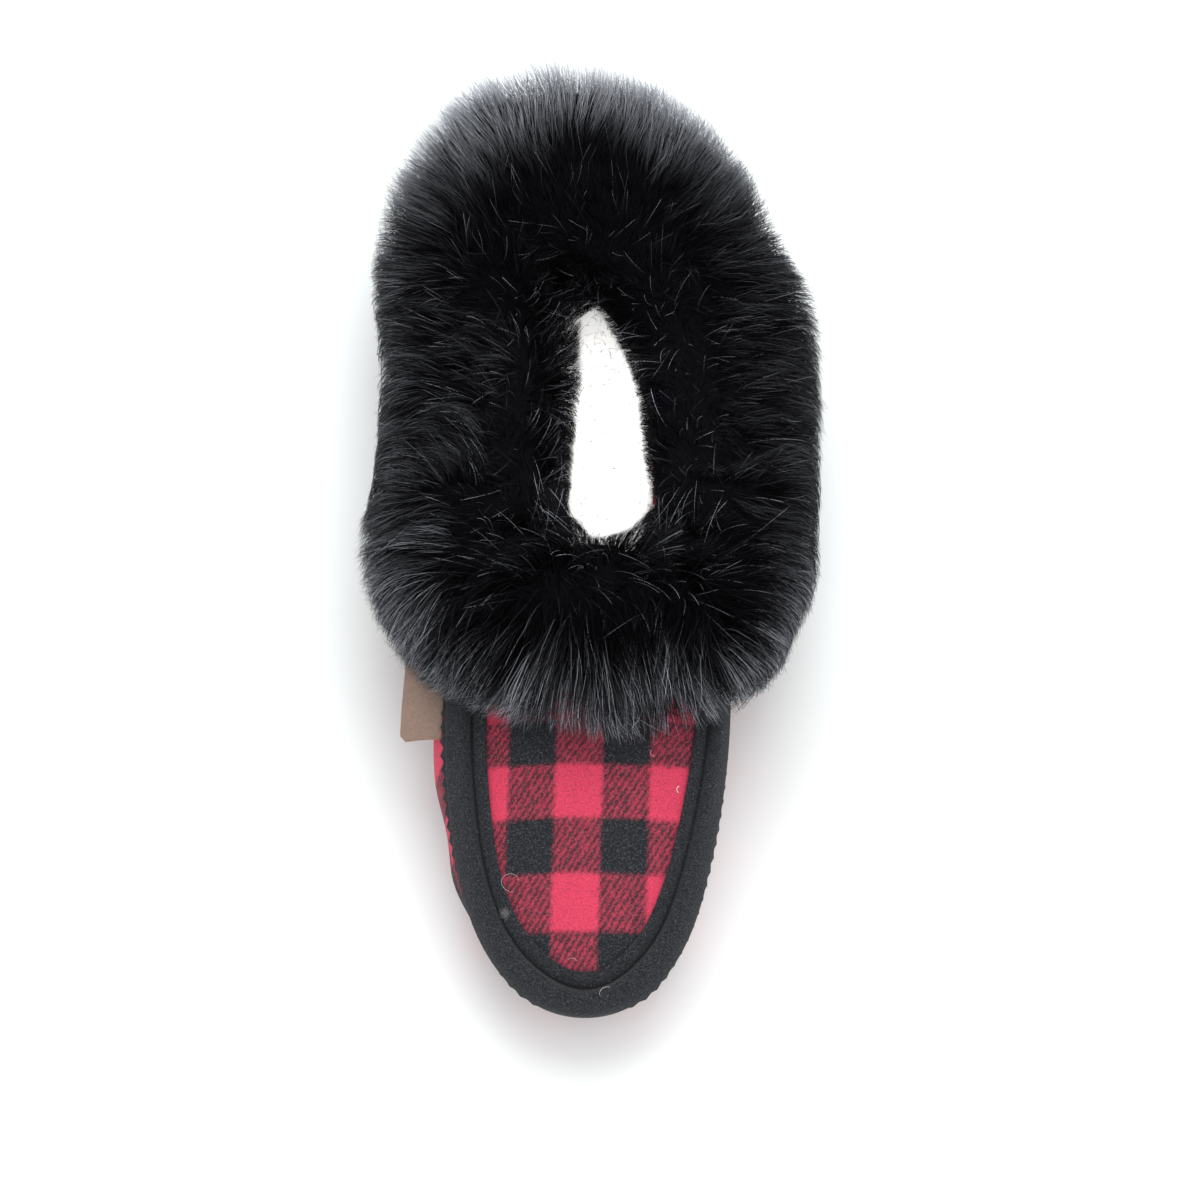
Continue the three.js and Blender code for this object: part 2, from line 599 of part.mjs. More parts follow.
// The pelt's cross-section, as [out or in, up or down]: shares of its reach, from the hem outside, over the
// top, to the hem inside. Between the two hems it is cut back to the wool that it lies on.
const PELT = [
  [0.45, -1],
  [0.84, -0.8],
  [1, -0.42],
  [0.93, -0.06],
  [0.72, 0.62],
  [0.3, 0.98],
  [-0.3, 0.9],
  [-0.8, 0.4],
  [-1, -0.25],
  [-0.92, -0.7],
  [-0.6, -1],
];

// The hair stands away from a line along the middle of the opening, so that it fans out at the corners
const spineFront = plugTop(THROAT_U, 0.5).add(new THREE.Vector3(0, FUR_SPINE, 0));
const spineBack = rimLoop.getPoint(0.5).sub(new THREE.Vector3(0, FUR_SPINE, 0));

function furOutward(at) {
  const w = clamp01((at.y - spineFront.y) / (spineBack.y - spineFront.y));
  return at.clone().sub(spineFront.clone().lerp(spineBack, w)).setZ(0).normalize();
}

function peltRing(f, shrinkAt) {
  const at = collarLoop.getPoint(wrap(f));
  const outward = furOutward(at);
  const out = furColumn(f, "out") * FUR_REACH;
  const inward = furColumn(f, "inward") * FUR_INNER;
  const top = furColumn(f, "top") * FUR_RISE;
  const drop = furColumn(f, "drop") * FUR_DROP;
  const lining = furColumn(f, "lining") * FUR_LINING;
  return PELT.map(([a, h], k) => {
    const shrink = shrinkAt(k);
    const reach = a > 0 ? a * (out - shrink) : a * (inward - shrink);
    const height = h > 0 ? h * (top - shrink) : h * ((a > 0 ? drop : lining) - shrink);
    return at.clone().addScaledVector(outward, reach).setZ(at.z + height);
  });
}

// The pelt's body: its rings stand out and fall back by turns, as locks that lie side by side. The locks
// over the crest are staggered against those that hang to the two hems.
const FUR_STEPS = 64;
const CREST_FROM = 4; // points of PELT
const CREST_TO = 7;
const CREST = 5.2;
const LOW_RING = 0.3; // shares of LOCK_STAND
const DEEP_RING = 1.5;

function peltBody() {
  const rings = roundLoop(FUR_STEPS).map((f, i) => {
    const depth = LOCK_STAND * lerp(1, DEEP_RING, scatter(i));
    const overCrest = (k) => (k >= CREST_FROM && k <= CREST_TO ? 1 : 0);
    return peltRing(f, (k) => ((i + overCrest(k)) % 2 ? depth : LOW_RING * depth));
  });
  return solidFromRings(rings, { closed: true });
}

// A point of the pelt by its place round the collar and its place along the cross-section
function peltPoint(f, place, shrink) {
  const ring = peltRing(f, () => shrink);
  const low = Math.min(Math.max(Math.floor(place), 0), PELT.length - 2);
  return ring[low].clone().lerp(ring[low + 1], place - low);
}

// One lock of hair: a flat spike, four-sided, with its root in the pelt and its tip bent back to it
const LOCK_BEND = 0.18; // share of the length
const LOCK_FORM = [
  { along: 0, width: 1, bend: 0 },
  { along: 0.5, width: 0.75, bend: 0.2 },
  { along: 1, width: 0, bend: 1 },
];

function lock(root, direction, across, length) {
  const up = across.clone().cross(direction).normalize();
  const side = direction.clone().cross(up).normalize();
  const corners = [0, 1, 2, 3].map((k) => (k * Math.PI) / 2);
  const rings = LOCK_FORM.map(({ along, width, bend }) => {
    const sink = LOCK_BEND * length * bend;
    return corners.map((angle) =>
      root
        .clone()
        .addScaledVector(direction, along * length)
        .addScaledVector(side, 0.5 * Math.cos(angle) * LOCK_WIDTH * width)
        .addScaledVector(up, 0.5 * Math.sin(angle) * LOCK_THICKNESS * width - sink),
    );
  });
  return solidFromRings(rings, { caps: ladderCap(4) });
}

// Rows of locks: at is the place along PELT, turn staggers a row, and lie is how much the locks follow the
// pelt towards the hem, against standing out of it
const LOCK_ROWS = [
  { at: 1.2, turn: 0, lie: 1.35, count: 20 },
  { at: 2.5, turn: 0.5, lie: 1.5, count: 20 },
  { at: 4.2, turn: 0, lie: 1.5, count: 16 },
  { at: 6.2, turn: 0.5, lie: 1.5, count: 12 },
];
const LOCK_SHORTEST = 0.75; // shares of LOCK_LENGTH
const LOCK_LONGEST = 1.15;
const LOCK_SHIFT = 0.6; // share of a lock's pitch that it may be out of place
const LOCK_STRAY = 0.5; // places along PELT
const SEEDS_PER_ROW = 101;

function furCollar(wool) {
  const pieces = [peltBody()];
  LOCK_ROWS.forEach((row, r) => {
    for (let i = 0; i < row.count; i++) {
      const seed = r * SEEDS_PER_ROW + i;
      const f = (i + row.turn + LOCK_SHIFT * (scatter(seed) - 0.5)) / row.count;
      const place = row.at + LOCK_STRAY * (scatter(seed + 17) - 0.5);
      const root = peltPoint(f, place, LOCK_STAND + LOCK_ROOT_DEPTH);
      const outward = peltPoint(f, place, 0).sub(root).normalize();
      const hemward = place < CREST ? -0.5 : 0.5;
      const flow = peltPoint(f, place + hemward, 0).sub(peltPoint(f, place - hemward, 0)).normalize();
      const direction = outward.clone().addScaledVector(flow, row.lie).normalize();
      const length = LOCK_LENGTH * lerp(LOCK_SHORTEST, LOCK_LONGEST, scatter(seed + 31));
      const across = peltPoint(f + 0.004, place, 0).sub(peltPoint(f - 0.004, place, 0)).normalize();
      pieces.push(lock(root, direction, across, length));
    }
  });
  const cutters = [
    wool,
    plugPanel({ above: SEAT_GAP, thickness: FUR_CUT_DEPTH, behind: SEAT_GAP }),
    trimBand(SEAT_GAP),
    pinkedStrip(SEAT_GAP),
    sideLabel(SEAT_GAP),
  ];
  const fur = wasm.Manifold.union(pieces).subtract(wasm.Manifold.union(cutters));
  const bodies = fur.decompose().sort((a, b) => b.volume() - a.volume());
  return bodies[0];
}

// Materials
const finish = (color, roughness) => new THREE.MeshStandardMaterial({ color, roughness, metalness: 0 });
const PLAID_WOOL = finish(0xb3253f, 0.95);
const BLACK_FELT = finish(0x202226, 0.95);
const BLACK_FUR = finish(0x0e0e11, 0.6);
const TAN_LEATHER = finish(0xa58a7c, 0.6);
const CREAM_FLEECE = finish(0xece8de, 1);
const BLACK_RUBBER = finish(0x232222, 0.8);

function meshOf(name, solid, material) {
  const made = solid.getMesh();
  const geometry = new THREE.BufferGeometry();
  geometry.setAttribute("position", new THREE.BufferAttribute(made.vertProperties, 3));
  geometry.setIndex(new THREE.BufferAttribute(made.triVerts, 1));
  geometry.computeVertexNormals();
  const mesh = new THREE.Mesh(geometry, material);
  mesh.name = name;
  return mesh;
}

const wool = woolWithGap();

const slipper = new THREE.Group();
slipper.add(
  meshOf("outsole", outsole(), BLACK_RUBBER),
  meshOf("insole", insole(), CREAM_FLEECE),
  meshOf("upper", sideWall(), PLAID_WOOL),
  meshOf("vamp_plug", plugPanel(), PLAID_WOOL),
  meshOf("felt_trim", trimBand(), BLACK_FELT),
  meshOf("pinked_strip", pinkedStrip(), BLACK_FELT),
  meshOf("side_label", sideLabel(), TAN_LEATHER),
  meshOf("fur_collar", furCollar(wool), BLACK_FUR),
);

export default slipper;
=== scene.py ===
import json
import math

import bpy
import numpy as np
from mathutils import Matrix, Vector, noise
from mathutils.bvhtree import BVHTree
from mathutils.kdtree import KDTree

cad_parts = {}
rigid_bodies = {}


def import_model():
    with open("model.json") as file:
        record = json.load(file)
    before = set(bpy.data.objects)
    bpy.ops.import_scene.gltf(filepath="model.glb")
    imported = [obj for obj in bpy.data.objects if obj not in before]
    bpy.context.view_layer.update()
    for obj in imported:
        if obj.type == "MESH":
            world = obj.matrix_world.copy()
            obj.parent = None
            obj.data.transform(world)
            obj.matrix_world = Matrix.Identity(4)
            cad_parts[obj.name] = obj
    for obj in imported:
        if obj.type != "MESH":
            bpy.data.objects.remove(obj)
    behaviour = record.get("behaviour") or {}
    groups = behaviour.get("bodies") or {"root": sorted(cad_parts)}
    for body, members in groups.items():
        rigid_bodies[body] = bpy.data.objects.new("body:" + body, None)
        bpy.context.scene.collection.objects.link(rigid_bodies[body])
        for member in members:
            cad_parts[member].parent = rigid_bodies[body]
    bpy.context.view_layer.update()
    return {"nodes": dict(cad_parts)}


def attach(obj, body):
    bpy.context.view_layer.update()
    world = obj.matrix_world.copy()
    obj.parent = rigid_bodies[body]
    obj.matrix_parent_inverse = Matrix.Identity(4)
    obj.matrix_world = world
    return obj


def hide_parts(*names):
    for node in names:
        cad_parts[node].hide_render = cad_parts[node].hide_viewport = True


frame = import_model()
bpy.ops.object.select_all(action="DESELECT")

# Camera: a long lens held high over the toe, as the slipper is photographed for a shop page.
# It looks along the slipper and 69 degrees down, so that the plug and the whole collar show.
CAMERA_ELEVATION = math.radians(69.3)
CAMERA_DISTANCE = 1.2
CAMERA_LENS_MM = 119.3
LOOK_AT = Vector((0.00105, -0.02, 0.038))
sight_line = Vector((0, math.cos(CAMERA_ELEVATION), -math.sin(CAMERA_ELEVATION)))
bpy.ops.object.camera_add(
    location=LOOK_AT - sight_line * CAMERA_DISTANCE,
    rotation=(math.pi / 2 - CAMERA_ELEVATION, 0, 0),
)
camera = bpy.context.object
camera.name = "camera"
camera.data.lens = CAMERA_LENS_MM
camera.data.sensor_width = 36
bpy.context.scene.camera = camera

# Studio: a white paper floor under soft overhead light, as for a shop photograph.
# A wide softbox hangs over the heel, a smaller one over the toe, and white walls fill in. A
# small lamp with a snoot, at the camera, lights the fleece down in the mouth.
FLOOR_WHITE = "#EEF3F3"
WALL_WHITE = "#FFFFFF"
WALL_BRIGHTNESS = 0.95


def linear(hex_colour):
    """An sRGB hex colour as linear RGBA."""
    channels = [int(hex_colour[i : i + 2], 16) / 255 for i in (1, 3, 5)]
    return [c / 12.92 if c <= 0.04045 else ((c + 0.055) / 1.055) ** 2.4 for c in channels] + [1.0]


def add_node(tree, kind, settings=None, links=None):
    """Adds a node, sets its properties or sockets by name or place, and links its inputs."""
    node = tree.nodes.new(kind)
    for name, value in (settings or {}).items():
        if isinstance(name, str) and hasattr(node, name):
            setattr(node, name, value)
        else:
            node.inputs[name].default_value = value
    for name, source in (links or {}).items():
        tree.links.new(source, node.inputs[name])
    return node


def new_material(name, settings):
    """A material with one Principled shader, whose sockets take these settings."""
    made = bpy.data.materials.new(name)
    made.use_nodes = True
    shader = made.node_tree.nodes["Principled BSDF"]
    for socket, value in settings.items():
        shader.inputs[socket].default_value = value
    return made, made.node_tree, shader


bpy.context.scene.view_settings.view_transform = "Standard"
bpy.ops.mesh.primitive_circle_add(vertices=96, radius=3.5, fill_type="NGON", location=(0, 0, 0))
floor = bpy.context.object
floor.name = "paper_floor"
paper = new_material(
    "matte_studio_paper", {"Base Color": linear(FLOOR_WHITE), "Roughness": 0.9, "IOR": 1.5}
)[0]
floor.data.materials.append(paper)

world = bpy.data.worlds.new("studio_walls")
world.use_nodes = True
world.node_tree.nodes["Background"].inputs["Color"].default_value = linear(WALL_WHITE)
world.node_tree.nodes["Background"].inputs["Strength"].default_value = WALL_BRIGHTNESS
bpy.context.scene.world = world

for light_name, place, size, power in (
    ("softbox_over_heel", (0.05, 0.5, 1.5), 1.0, 15),
    ("softbox_by_toe", (0.35, -0.45, 1.5), 0.8, 4),
):
    bpy.ops.object.light_add(type="AREA", location=place)
    softbox = bpy.context.object
    softbox.name = light_name
    softbox.data.size = size
    softbox.data.energy = power
    softbox.rotation_euler = (-Vector(place)).to_track_quat("-Z", "Y").to_euler()

MOUTH_MIDDLE = Vector((0.003, 0.027, 0.055))
bpy.ops.object.light_add(type="SPOT", location=camera.location)
snoot = bpy.context.object
snoot.name = "snoot_lamp"
snoot.data.energy = 90
snoot.data.spot_size = math.radians(4.6)
snoot.data.spot_blend = 0.7
snoot.data.shadow_soft_size = 0.03
snoot.rotation_euler = (MOUTH_MIDDLE - camera.location).to_track_quat("-Z", "Y").to_euler()

# Outsole: one moulding of black rubber, cemented under the wool, with grooves across the tread.
# It keeps its CAD form. The mould leaves a fine matt grain, and the tread scuffs paler.
RUBBER_BLACK = "#1B1B1C"
RUBBER_SCUFFED = "#34322F"
rubber, tree, shader = new_material(
    "moulded_rubber", {"Roughness": 0.62, "IOR": 1.52, "Base Color": linear(RUBBER_BLACK)}
)
coords = add_node(tree, "ShaderNodeTexCoord")
scuffs = add_node(
    tree, "ShaderNodeTexNoise", {"Scale": 90, "Detail": 6}, {"Vector": coords.outputs["Object"]}
)
scuff_range = add_node(
    tree, "ShaderNodeMapRange", {"From Min": 0.45, "From Max": 0.75}, {"Value": scuffs.outputs["Fac"]}
)
rubber_colour = add_node(
    tree,
    "ShaderNodeMix",
    {"data_type": "RGBA", 6: linear(RUBBER_BLACK), 7: linear(RUBBER_SCUFFED)},
    {0: scuff_range.outputs["Result"]},
)
grain = add_node(
    tree, "ShaderNodeTexNoise", {"Scale": 2500, "Detail": 3}, {"Vector": coords.outputs["Object"]}
)
mould_grain = add_node(
    tree, "ShaderNodeBump", {"Strength": 0.3, "Distance": 0.0002}, {"Height": grain.outputs["Fac"]}
)
tree.links.new(rubber_colour.outputs[2], shader.inputs["Base Color"])
tree.links.new(mould_grain.outputs["Normal"], shader.inputs["Normal"])
outsole = frame["nodes"]["outsole"]
outsole.data.materials.clear()
outsole.data.materials.append(rubber)

# Insole: a foam pad faced with white fleece, which lies loose on the sole inside the wall.
# The pad swells between its edges, and the fleece stands on it in short curls.
FLEECE_WHITE = "#FFFFFE"
FLEECE_SHADE = "#F9F7F4"
PAD_VOXEL = 0.003
PAD_SWELL = 0.0012
CURL_COUNT = 3000
CURL_LENGTH = 0.0042
CURL_RADIUS = 0.00022
CURL_ROOT_DEPTH = 0.0006
CURL_SEED = 11
QUAD_ANGLE = math.radians(50)
SWELL_STEPS = 20


def copy_of_node(node_name, piece_name):
    """A merged copy of a CAD node in quads, for a piece that keeps the node's form."""
    piece = bpy.data.objects.new(piece_name, frame["nodes"][node_name].data.copy())
    bpy.context.scene.collection.objects.link(piece)
    bpy.ops.object.select_all(action="DESELECT")
    piece.select_set(True)
    bpy.context.view_layer.objects.active = piece
    bpy.ops.mesh.customdata_custom_splitnormals_clear()
    bpy.ops.object.mode_set(mode="EDIT")
    bpy.ops.mesh.select_all(action="SELECT")
    bpy.ops.mesh.remove_doubles(threshold=1e-6)
    bpy.ops.mesh.tris_convert_to_quads(face_threshold=QUAD_ANGLE, shape_threshold=QUAD_ANGLE)
    bpy.ops.object.mode_set(mode="OBJECT")
    piece.data.materials.clear()
    return piece


def apply_modifier(piece, kind, **settings):
    """Adds a modifier with these settings and applies it."""
    bpy.context.view_layer.objects.active = piece
    made = piece.modifiers.new(kind.lower(), kind)
    for name, value in settings.items():
        setattr(made, name, value)
    bpy.ops.object.modifier_apply(modifier=made.name)


def points_of(piece):
    """The piece's vertices as rows of an array."""
    flat = np.empty(len(piece.data.vertices) * 3)
    piece.data.vertices.foreach_get("co", flat)
    return flat.reshape(-1, 3)


def normals_of(piece):
    """The piece's vertex normals as rows of an array."""
    flat = np.empty(len(piece.data.vertices) * 3)
    piece.data.vertex_normals.foreach_get("vector", flat)
    return flat.reshape(-1, 3)


def put_points(piece, points):
    """Moves the piece's vertices to these places."""
    piece.data.vertices.foreach_set("co", points.ravel())
    piece.data.update()


def unit(rows):
    """Each row at length one."""
    return rows / np.maximum(np.linalg.norm(rows, axis=1, keepdims=True), 1e-12)


def scattered_on(piece, count, rng):
    """Random places on a piece, evenly spread by area, with the surface normal at each."""
    mesh = piece.data
    mesh.calc_loop_triangles()
    corners = np.empty(len(mesh.loop_triangles) * 3, np.int64)
    mesh.loop_triangles.foreach_get("vertices", corners)
    corners = corners.reshape(-1, 3)
    places = points_of(piece)
    normals = normals_of(piece)
    a, b, c = (places[corners[:, k]] for k in range(3))
    area = np.linalg.norm(np.cross(b - a, c - a), axis=1)
    chosen = rng.choice(len(corners), count, p=area / area.sum())
    s = np.sqrt(rng.random(count))[:, None]
    t = rng.random(count)[:, None]
    shares = (1 - s, s * (1 - t), s * t)
    where = sum(share * places[corners[chosen, k]] for k, share in enumerate(shares))
    facing = sum(share * normals[corners[chosen, k]] for k, share in enumerate(shares))
    return where, unit(facing)


def strand_mesh(name, paths, radii, tone_and_sheen, rng):
    """Closed three-sided hairs along paths of shape (hairs, stations, 3), pointed at the last.

    Each vertex carries how far along its hair it is, and its hair's tone, which on the fur is a
    painted sheen.
    """
    hairs, stations = paths.shape[:2]
    rings = stations - 1
    ahead = paths[:, 1:] - paths[:, :-1]
    tangent = unit(ahead.reshape(-1, 3)).reshape(ahead.shape)
    away = unit(rng.normal(size=(hairs, 3)))[:, None, :].repeat(rings, axis=1)
    side = unit(np.cross(tangent, away).reshape(-1, 3)).reshape(ahead.shape)
    cross = np.cross(tangent, side)
    per_hair = rings * 3 + 1
    places = np.empty((hairs, per_hair, 3))
    for k in range(3):
        turn = 2 * math.pi * k / 3
        spoke = side * math.cos(turn) + cross * math.sin(turn)
        places[:, k : rings * 3 : 3] = paths[:, :rings] + spoke * radii[:, :, None]
    places[:, -1] = paths[:, -1]
    faces = [(2, 1, 0)]
    for ring in range(rings - 1):
        for k in range(3):
            a, b = ring * 3 + k, ring * 3 + (k + 1) % 3
            faces += [(a, b, b + 3), (a, b + 3, a + 3)]
    last = (rings - 1) * 3
    faces += [(last + k, last + (k + 1) % 3, rings * 3) for k in range(3)]
    faces = np.array(faces)
    corners = (faces[None] + (np.arange(hairs) * per_hair)[:, None, None]).reshape(-1)
    mesh = bpy.data.meshes.new(name)
    mesh.vertices.add(hairs * per_hair)
    mesh.vertices.foreach_set("co", places.ravel())
    mesh.loops.add(len(corners))
    mesh.loops.foreach_set("vertex_index", corners.astype(np.int32))
    mesh.polygons.add(len(corners) // 3)
    mesh.polygons.foreach_set("loop_start", np.arange(0, len(corners), 3, dtype=np.int32))
    mesh.update(calc_edges=True)
    mesh.polygons.foreach_set("use_smooth", np.ones(len(corners) // 3, bool))
    along = np.minimum(np.arange(per_hair) // 3, rings) / rings
    for attribute, values in (
        ("along", np.tile(along, hairs)),
        ("tone_and_sheen", np.repeat(tone_and_sheen, per_hair)),
    ):
        mesh.attributes.new(attribute, "FLOAT", "POINT").data.foreach_set("value", values)
    piece = bpy.data.objects.new(name, mesh)
    bpy.context.scene.collection.objects.link(piece)
    return piece


fleece, tree, shader = new_material(
    "wool_fleece",
    {"Roughness": 0.95, "IOR": 1.54, "Sheen Weight": 0.5, "Sheen Roughness": 0.4},
)
coords = add_node(tree, "ShaderNodeTexCoord")
locks = add_node(
    tree, "ShaderNodeTexNoise", {"Scale": 420, "Detail": 5}, {"Vector": coords.outputs["Object"]}
)
fleece_colour = add_node(
    tree,
    "ShaderNodeMix",
    {"data_type": "RGBA", 6: linear(FLEECE_SHADE), 7: linear(FLEECE_WHITE)},
    {0: locks.outputs["Fac"]},
)
fleece_bump = add_node(
    tree, "ShaderNodeBump", {"Strength": 0.3, "Distance": 0.0008}, {"Height": locks.outputs["Fac"]}
)
tree.links.new(fleece_colour.outputs[2], shader.inputs["Base Color"])
tree.links.new(fleece_bump.outputs["Normal"], shader.inputs["Normal"])

insole = copy_of_node("insole", "fleece_insole")
apply_modifier(insole, "REMESH", mode="VOXEL", voxel_size=PAD_VOXEL)
flat_pad = points_of(insole)
cloth = insole.modifiers.new("cloth", "CLOTH")
cloth.settings.use_pressure = True
cloth.settings.uniform_pressure_force = 2
cloth.settings.effector_weights.gravity = 0
cloth.point_cache.frame_start = 1
cloth.point_cache.frame_end = SWELL_STEPS
for step in range(1, SWELL_STEPS + 1):
    bpy.context.scene.frame_set(step)
bpy.context.view_layer.objects.active = insole
bpy.ops.object.modifier_apply(modifier=cloth.name)
swelling = points_of(insole) - flat_pad
reach = np.linalg.norm(swelling, axis=1, keepdims=True)
put_points(insole, flat_pad + swelling * np.minimum(1, PAD_SWELL / np.maximum(reach, 1e-9)))
bpy.context.scene.frame_set(1)
apply_modifier(insole, "SUBSURF", levels=1, render_levels=1)
bpy.ops.object.shade_smooth()
insole.data.materials.append(fleece)
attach(insole, "root")
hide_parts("insole")

rng = np.random.default_rng(CURL_SEED)
roots, facing = scattered_on(insole, CURL_COUNT * 3, rng)
on_top = np.flatnonzero(facing[:, 2] > 0.5)[:CURL_COUNT]
roots, facing = roots[on_top], facing[on_top]
lean = unit(rng.normal(size=roots.shape) * (1, 1, 0.1))
rise = CURL_LENGTH * (0.6 + 0.5 * rng.random((len(roots), 1)))
curl_path = np.stack(
    [
        roots - facing * CURL_ROOT_DEPTH,
        roots + facing * rise * 0.35 + lean * rise * 0.18,
        roots + facing * rise * 0.5 + lean * rise * 0.55,
        roots + facing * rise * 0.3 + lean * rise * 0.8,
    ],
    axis=1,
)
curl_radii = np.tile([1.0, 1.0, 0.8], (len(roots), 1)) * CURL_RADIUS
curls = strand_mesh("insole_curls", curl_path, curl_radii, rng.random(len(roots)), rng)
curls.data.materials.append(fleece)
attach(curls, "root")

# Side wall: one strip of buffalo plaid wool, lasted round the foot and closed at the heel.
# It is a napped twill: red and near-black checks where both threads agree, and slanting
# strokes of the two where they differ. The lining side is white fleece.
WOOL_RED = "#D4415C"
WOOL_RED_DEEP = "#A6354E"
WOOL_BLACK = "#1C1F22"
WOOL_LINT = "#4E4F56"
CHECK_ACROSS = 0.01385
CHECK_HIGH = 0.0156
TWILL_STROKES = 4.8
TWILL_SLANT = 1.45
CHECK_RAGGEDNESS = 0.16
WALL_CENTRE = (-0.00475, -0.0146)
WALL_SPINE_Y = (-0.0926, 0.0774)
LINING_TURN = -0.25
WALL_BULGES = ((-0.107, 0.029, 0.0026), (-0.077, 0.033, 0.001))
BULGE_LENGTH = 0.008
BULGE_HIGH = 0.006
BULGE_SIDE_BAND = 0.01
WALL_ROW_EDGE = 0.0345
LEFT_CHECK_EDGE_Y = -0.0796
OUTLINE_SECTORS = 72

plaid, tree, shader = new_material(
    "napped_plaid_wool",
    {
        "Roughness": 0.92,
        "IOR": 1.54,
        "Specular IOR Level": 0.15,
        "Sheen Weight": 0.06,
        "Sheen Roughness": 0.5,
    },
)
cloth_map = add_node(tree, "ShaderNodeUVMap", {"uv_map": "checks"})
coords = add_node(tree, "ShaderNodeTexCoord")
ragged = add_node(
    tree, "ShaderNodeTexNoise", {"Scale": 900, "Detail": 3}, {"Vector": coords.outputs["Object"]}
)
ragged_centred = add_node(
    tree,
    "ShaderNodeVectorMath",
    {"operation": "SUBTRACT", 1: (0.5, 0.5, 0.5)},
    {0: ragged.outputs["Color"]},
)
ragged_scaled = add_node(
    tree,
    "ShaderNodeVectorMath",
    {"operation": "SCALE", "Scale": CHECK_RAGGEDNESS},
    {0: ragged_centred.outputs["Vector"]},
)
thread_place = add_node(
    tree,
    "ShaderNodeVectorMath",
    {"operation": "ADD"},
    {0: cloth_map.outputs["UV"], 1: ragged_scaled.outputs["Vector"]},
)
across_and_high = add_node(
    tree, "ShaderNodeSeparateXYZ", links={"Vector": thread_place.outputs["Vector"]}
)
red_bands = []
for direction in ("X", "Y"):
    half_turn = add_node(
        tree,
        "ShaderNodeMath",
        {"operation": "MULTIPLY", 1: math.pi},
        {0: across_and_high.outputs[direction]},
    )
    wave = add_node(tree, "ShaderNodeMath", {"operation": "SINE"}, {0: half_turn.outputs[0]})
    red_bands.append(
        add_node(
            tree,
            "ShaderNodeMapRange",
            {"interpolation_type": "SMOOTHSTEP", "From Min": -0.2, "From Max": 0.2},
            {"Value": wave.outputs[0]},
        )
    )
slant = add_node(
    tree,
    "ShaderNodeMath",
    {"operation": "MULTIPLY_ADD", 1: TWILL_SLANT},
    {0: across_and_high.outputs["X"], 2: across_and_high.outputs["Y"]},
)
slant_turns = add_node(
    tree,
    "ShaderNodeMath",
    {"operation": "MULTIPLY", 1: 2 * math.pi * TWILL_STROKES},
    {0: slant.outputs[0]},
)
strokes = add_node(tree, "ShaderNodeMath", {"operation": "SINE"}, {0: slant_turns.outputs[0]})
stroke_breaks = add_node(
    tree, "ShaderNodeTexNoise", {"Scale": 400, "Detail": 3}, {"Vector": coords.outputs["Object"]}
)
broken_strokes = add_node(
    tree,
    "ShaderNodeMath",
    {"operation": "MULTIPLY_ADD", 1: 4.0, 2: -2.0},
    {0: stroke_breaks.outputs["Fac"]},
)
stroke_sum = add_node(
    tree,
    "ShaderNodeMath",
    {"operation": "ADD"},
    {0: strokes.outputs[0], 1: broken_strokes.outputs[0]},
)
warp_on_top = add_node(
    tree,
    "ShaderNodeMapRange",
    {
        "interpolation_type": "SMOOTHSTEP",
        "From Min": -1.5,
        "From Max": 1.5,
        "To Min": 0.1,
        "To Max": 0.55,
    },
    {"Value": stroke_sum.outputs[0]},
)
both_red, either_red = (
    add_node(
        tree,
        "ShaderNodeMath",
        {"operation": operation},
        {0: red_bands[0].outputs[0], 1: red_bands[1].outputs[0]},
    )
    for operation in ("MULTIPLY", "MAXIMUM")
)
red_share = add_node(
    tree,
    "ShaderNodeMix",
    {"data_type": "FLOAT"},
    {0: warp_on_top.outputs[0], 2: both_red.outputs[0], 3: either_red.outputs[0]},
)
nap = add_node(
    tree,
    "ShaderNodeTexNoise",
    {"Scale": 2000, "Detail": 4, "Roughness": 0.62},
    {"Vector": coords.outputs["Object"]},
)
nap_range = add_node(
    tree, "ShaderNodeMapRange", {"From Min": 0.34, "From Max": 0.6}, {"Value": nap.outputs["Fac"]}
)
red_nap = add_node(
    tree,
    "ShaderNodeMix",
    {"data_type": "RGBA", 6: linear(WOOL_RED_DEEP), 7: linear(WOOL_RED)},
    {0: nap_range.outputs[0]},
)
lint_range = add_node(
    tree, "ShaderNodeMapRange", {"From Min": 0.5, "From Max": 0.72}, {"Value": nap.outputs["Fac"]}
)
black_nap = add_node(
    tree,
    "ShaderNodeMix",
    {"data_type": "RGBA", 6: linear(WOOL_BLACK), 7: linear(WOOL_LINT)},
    {0: lint_range.outputs[0]},
)
wool_colour = add_node(
    tree,
    "ShaderNodeMix",
    {"data_type": "RGBA"},
    {0: red_share.outputs[0], 6: black_nap.outputs[2], 7: red_nap.outputs[2]},
)
nap_bump = add_node(
    tree, "ShaderNodeBump", {"Strength": 0.5, "Distance": 0.0004}, {"Height": nap.outputs["Fac"]}
)
tree.links.new(wool_colour.outputs[2], shader.inputs["Base Color"])
tree.links.new(nap_bump.outputs["Normal"], shader.inputs["Normal"])


def lay_checks(piece, across, high):
    """Gives the piece's corners their place in the plaid, in checks, from per-vertex values."""
    mesh = piece.data
    corner_vertex = np.empty(len(mesh.loops), np.int64)
    mesh.loops.foreach_get("vertex_index", corner_vertex)
    starts = np.empty(len(mesh.polygons), np.int64)
    mesh.polygons.foreach_get("loop_start", starts)
    totals = np.empty(len(mesh.polygons), np.int64)
    mesh.polygons.foreach_get("loop_total", totals)
    first = np.repeat(across[corner_vertex[starts]], totals)
    whole = across.max() - across.min()
    value = across[corner_vertex]
    value = value - whole * np.round((value - first) / whole)
    layer = mesh.uv_layers.new(name="checks")
    layer.data.foreach_set("uv", np.stack([value, high[corner_vertex]], axis=1).ravel())


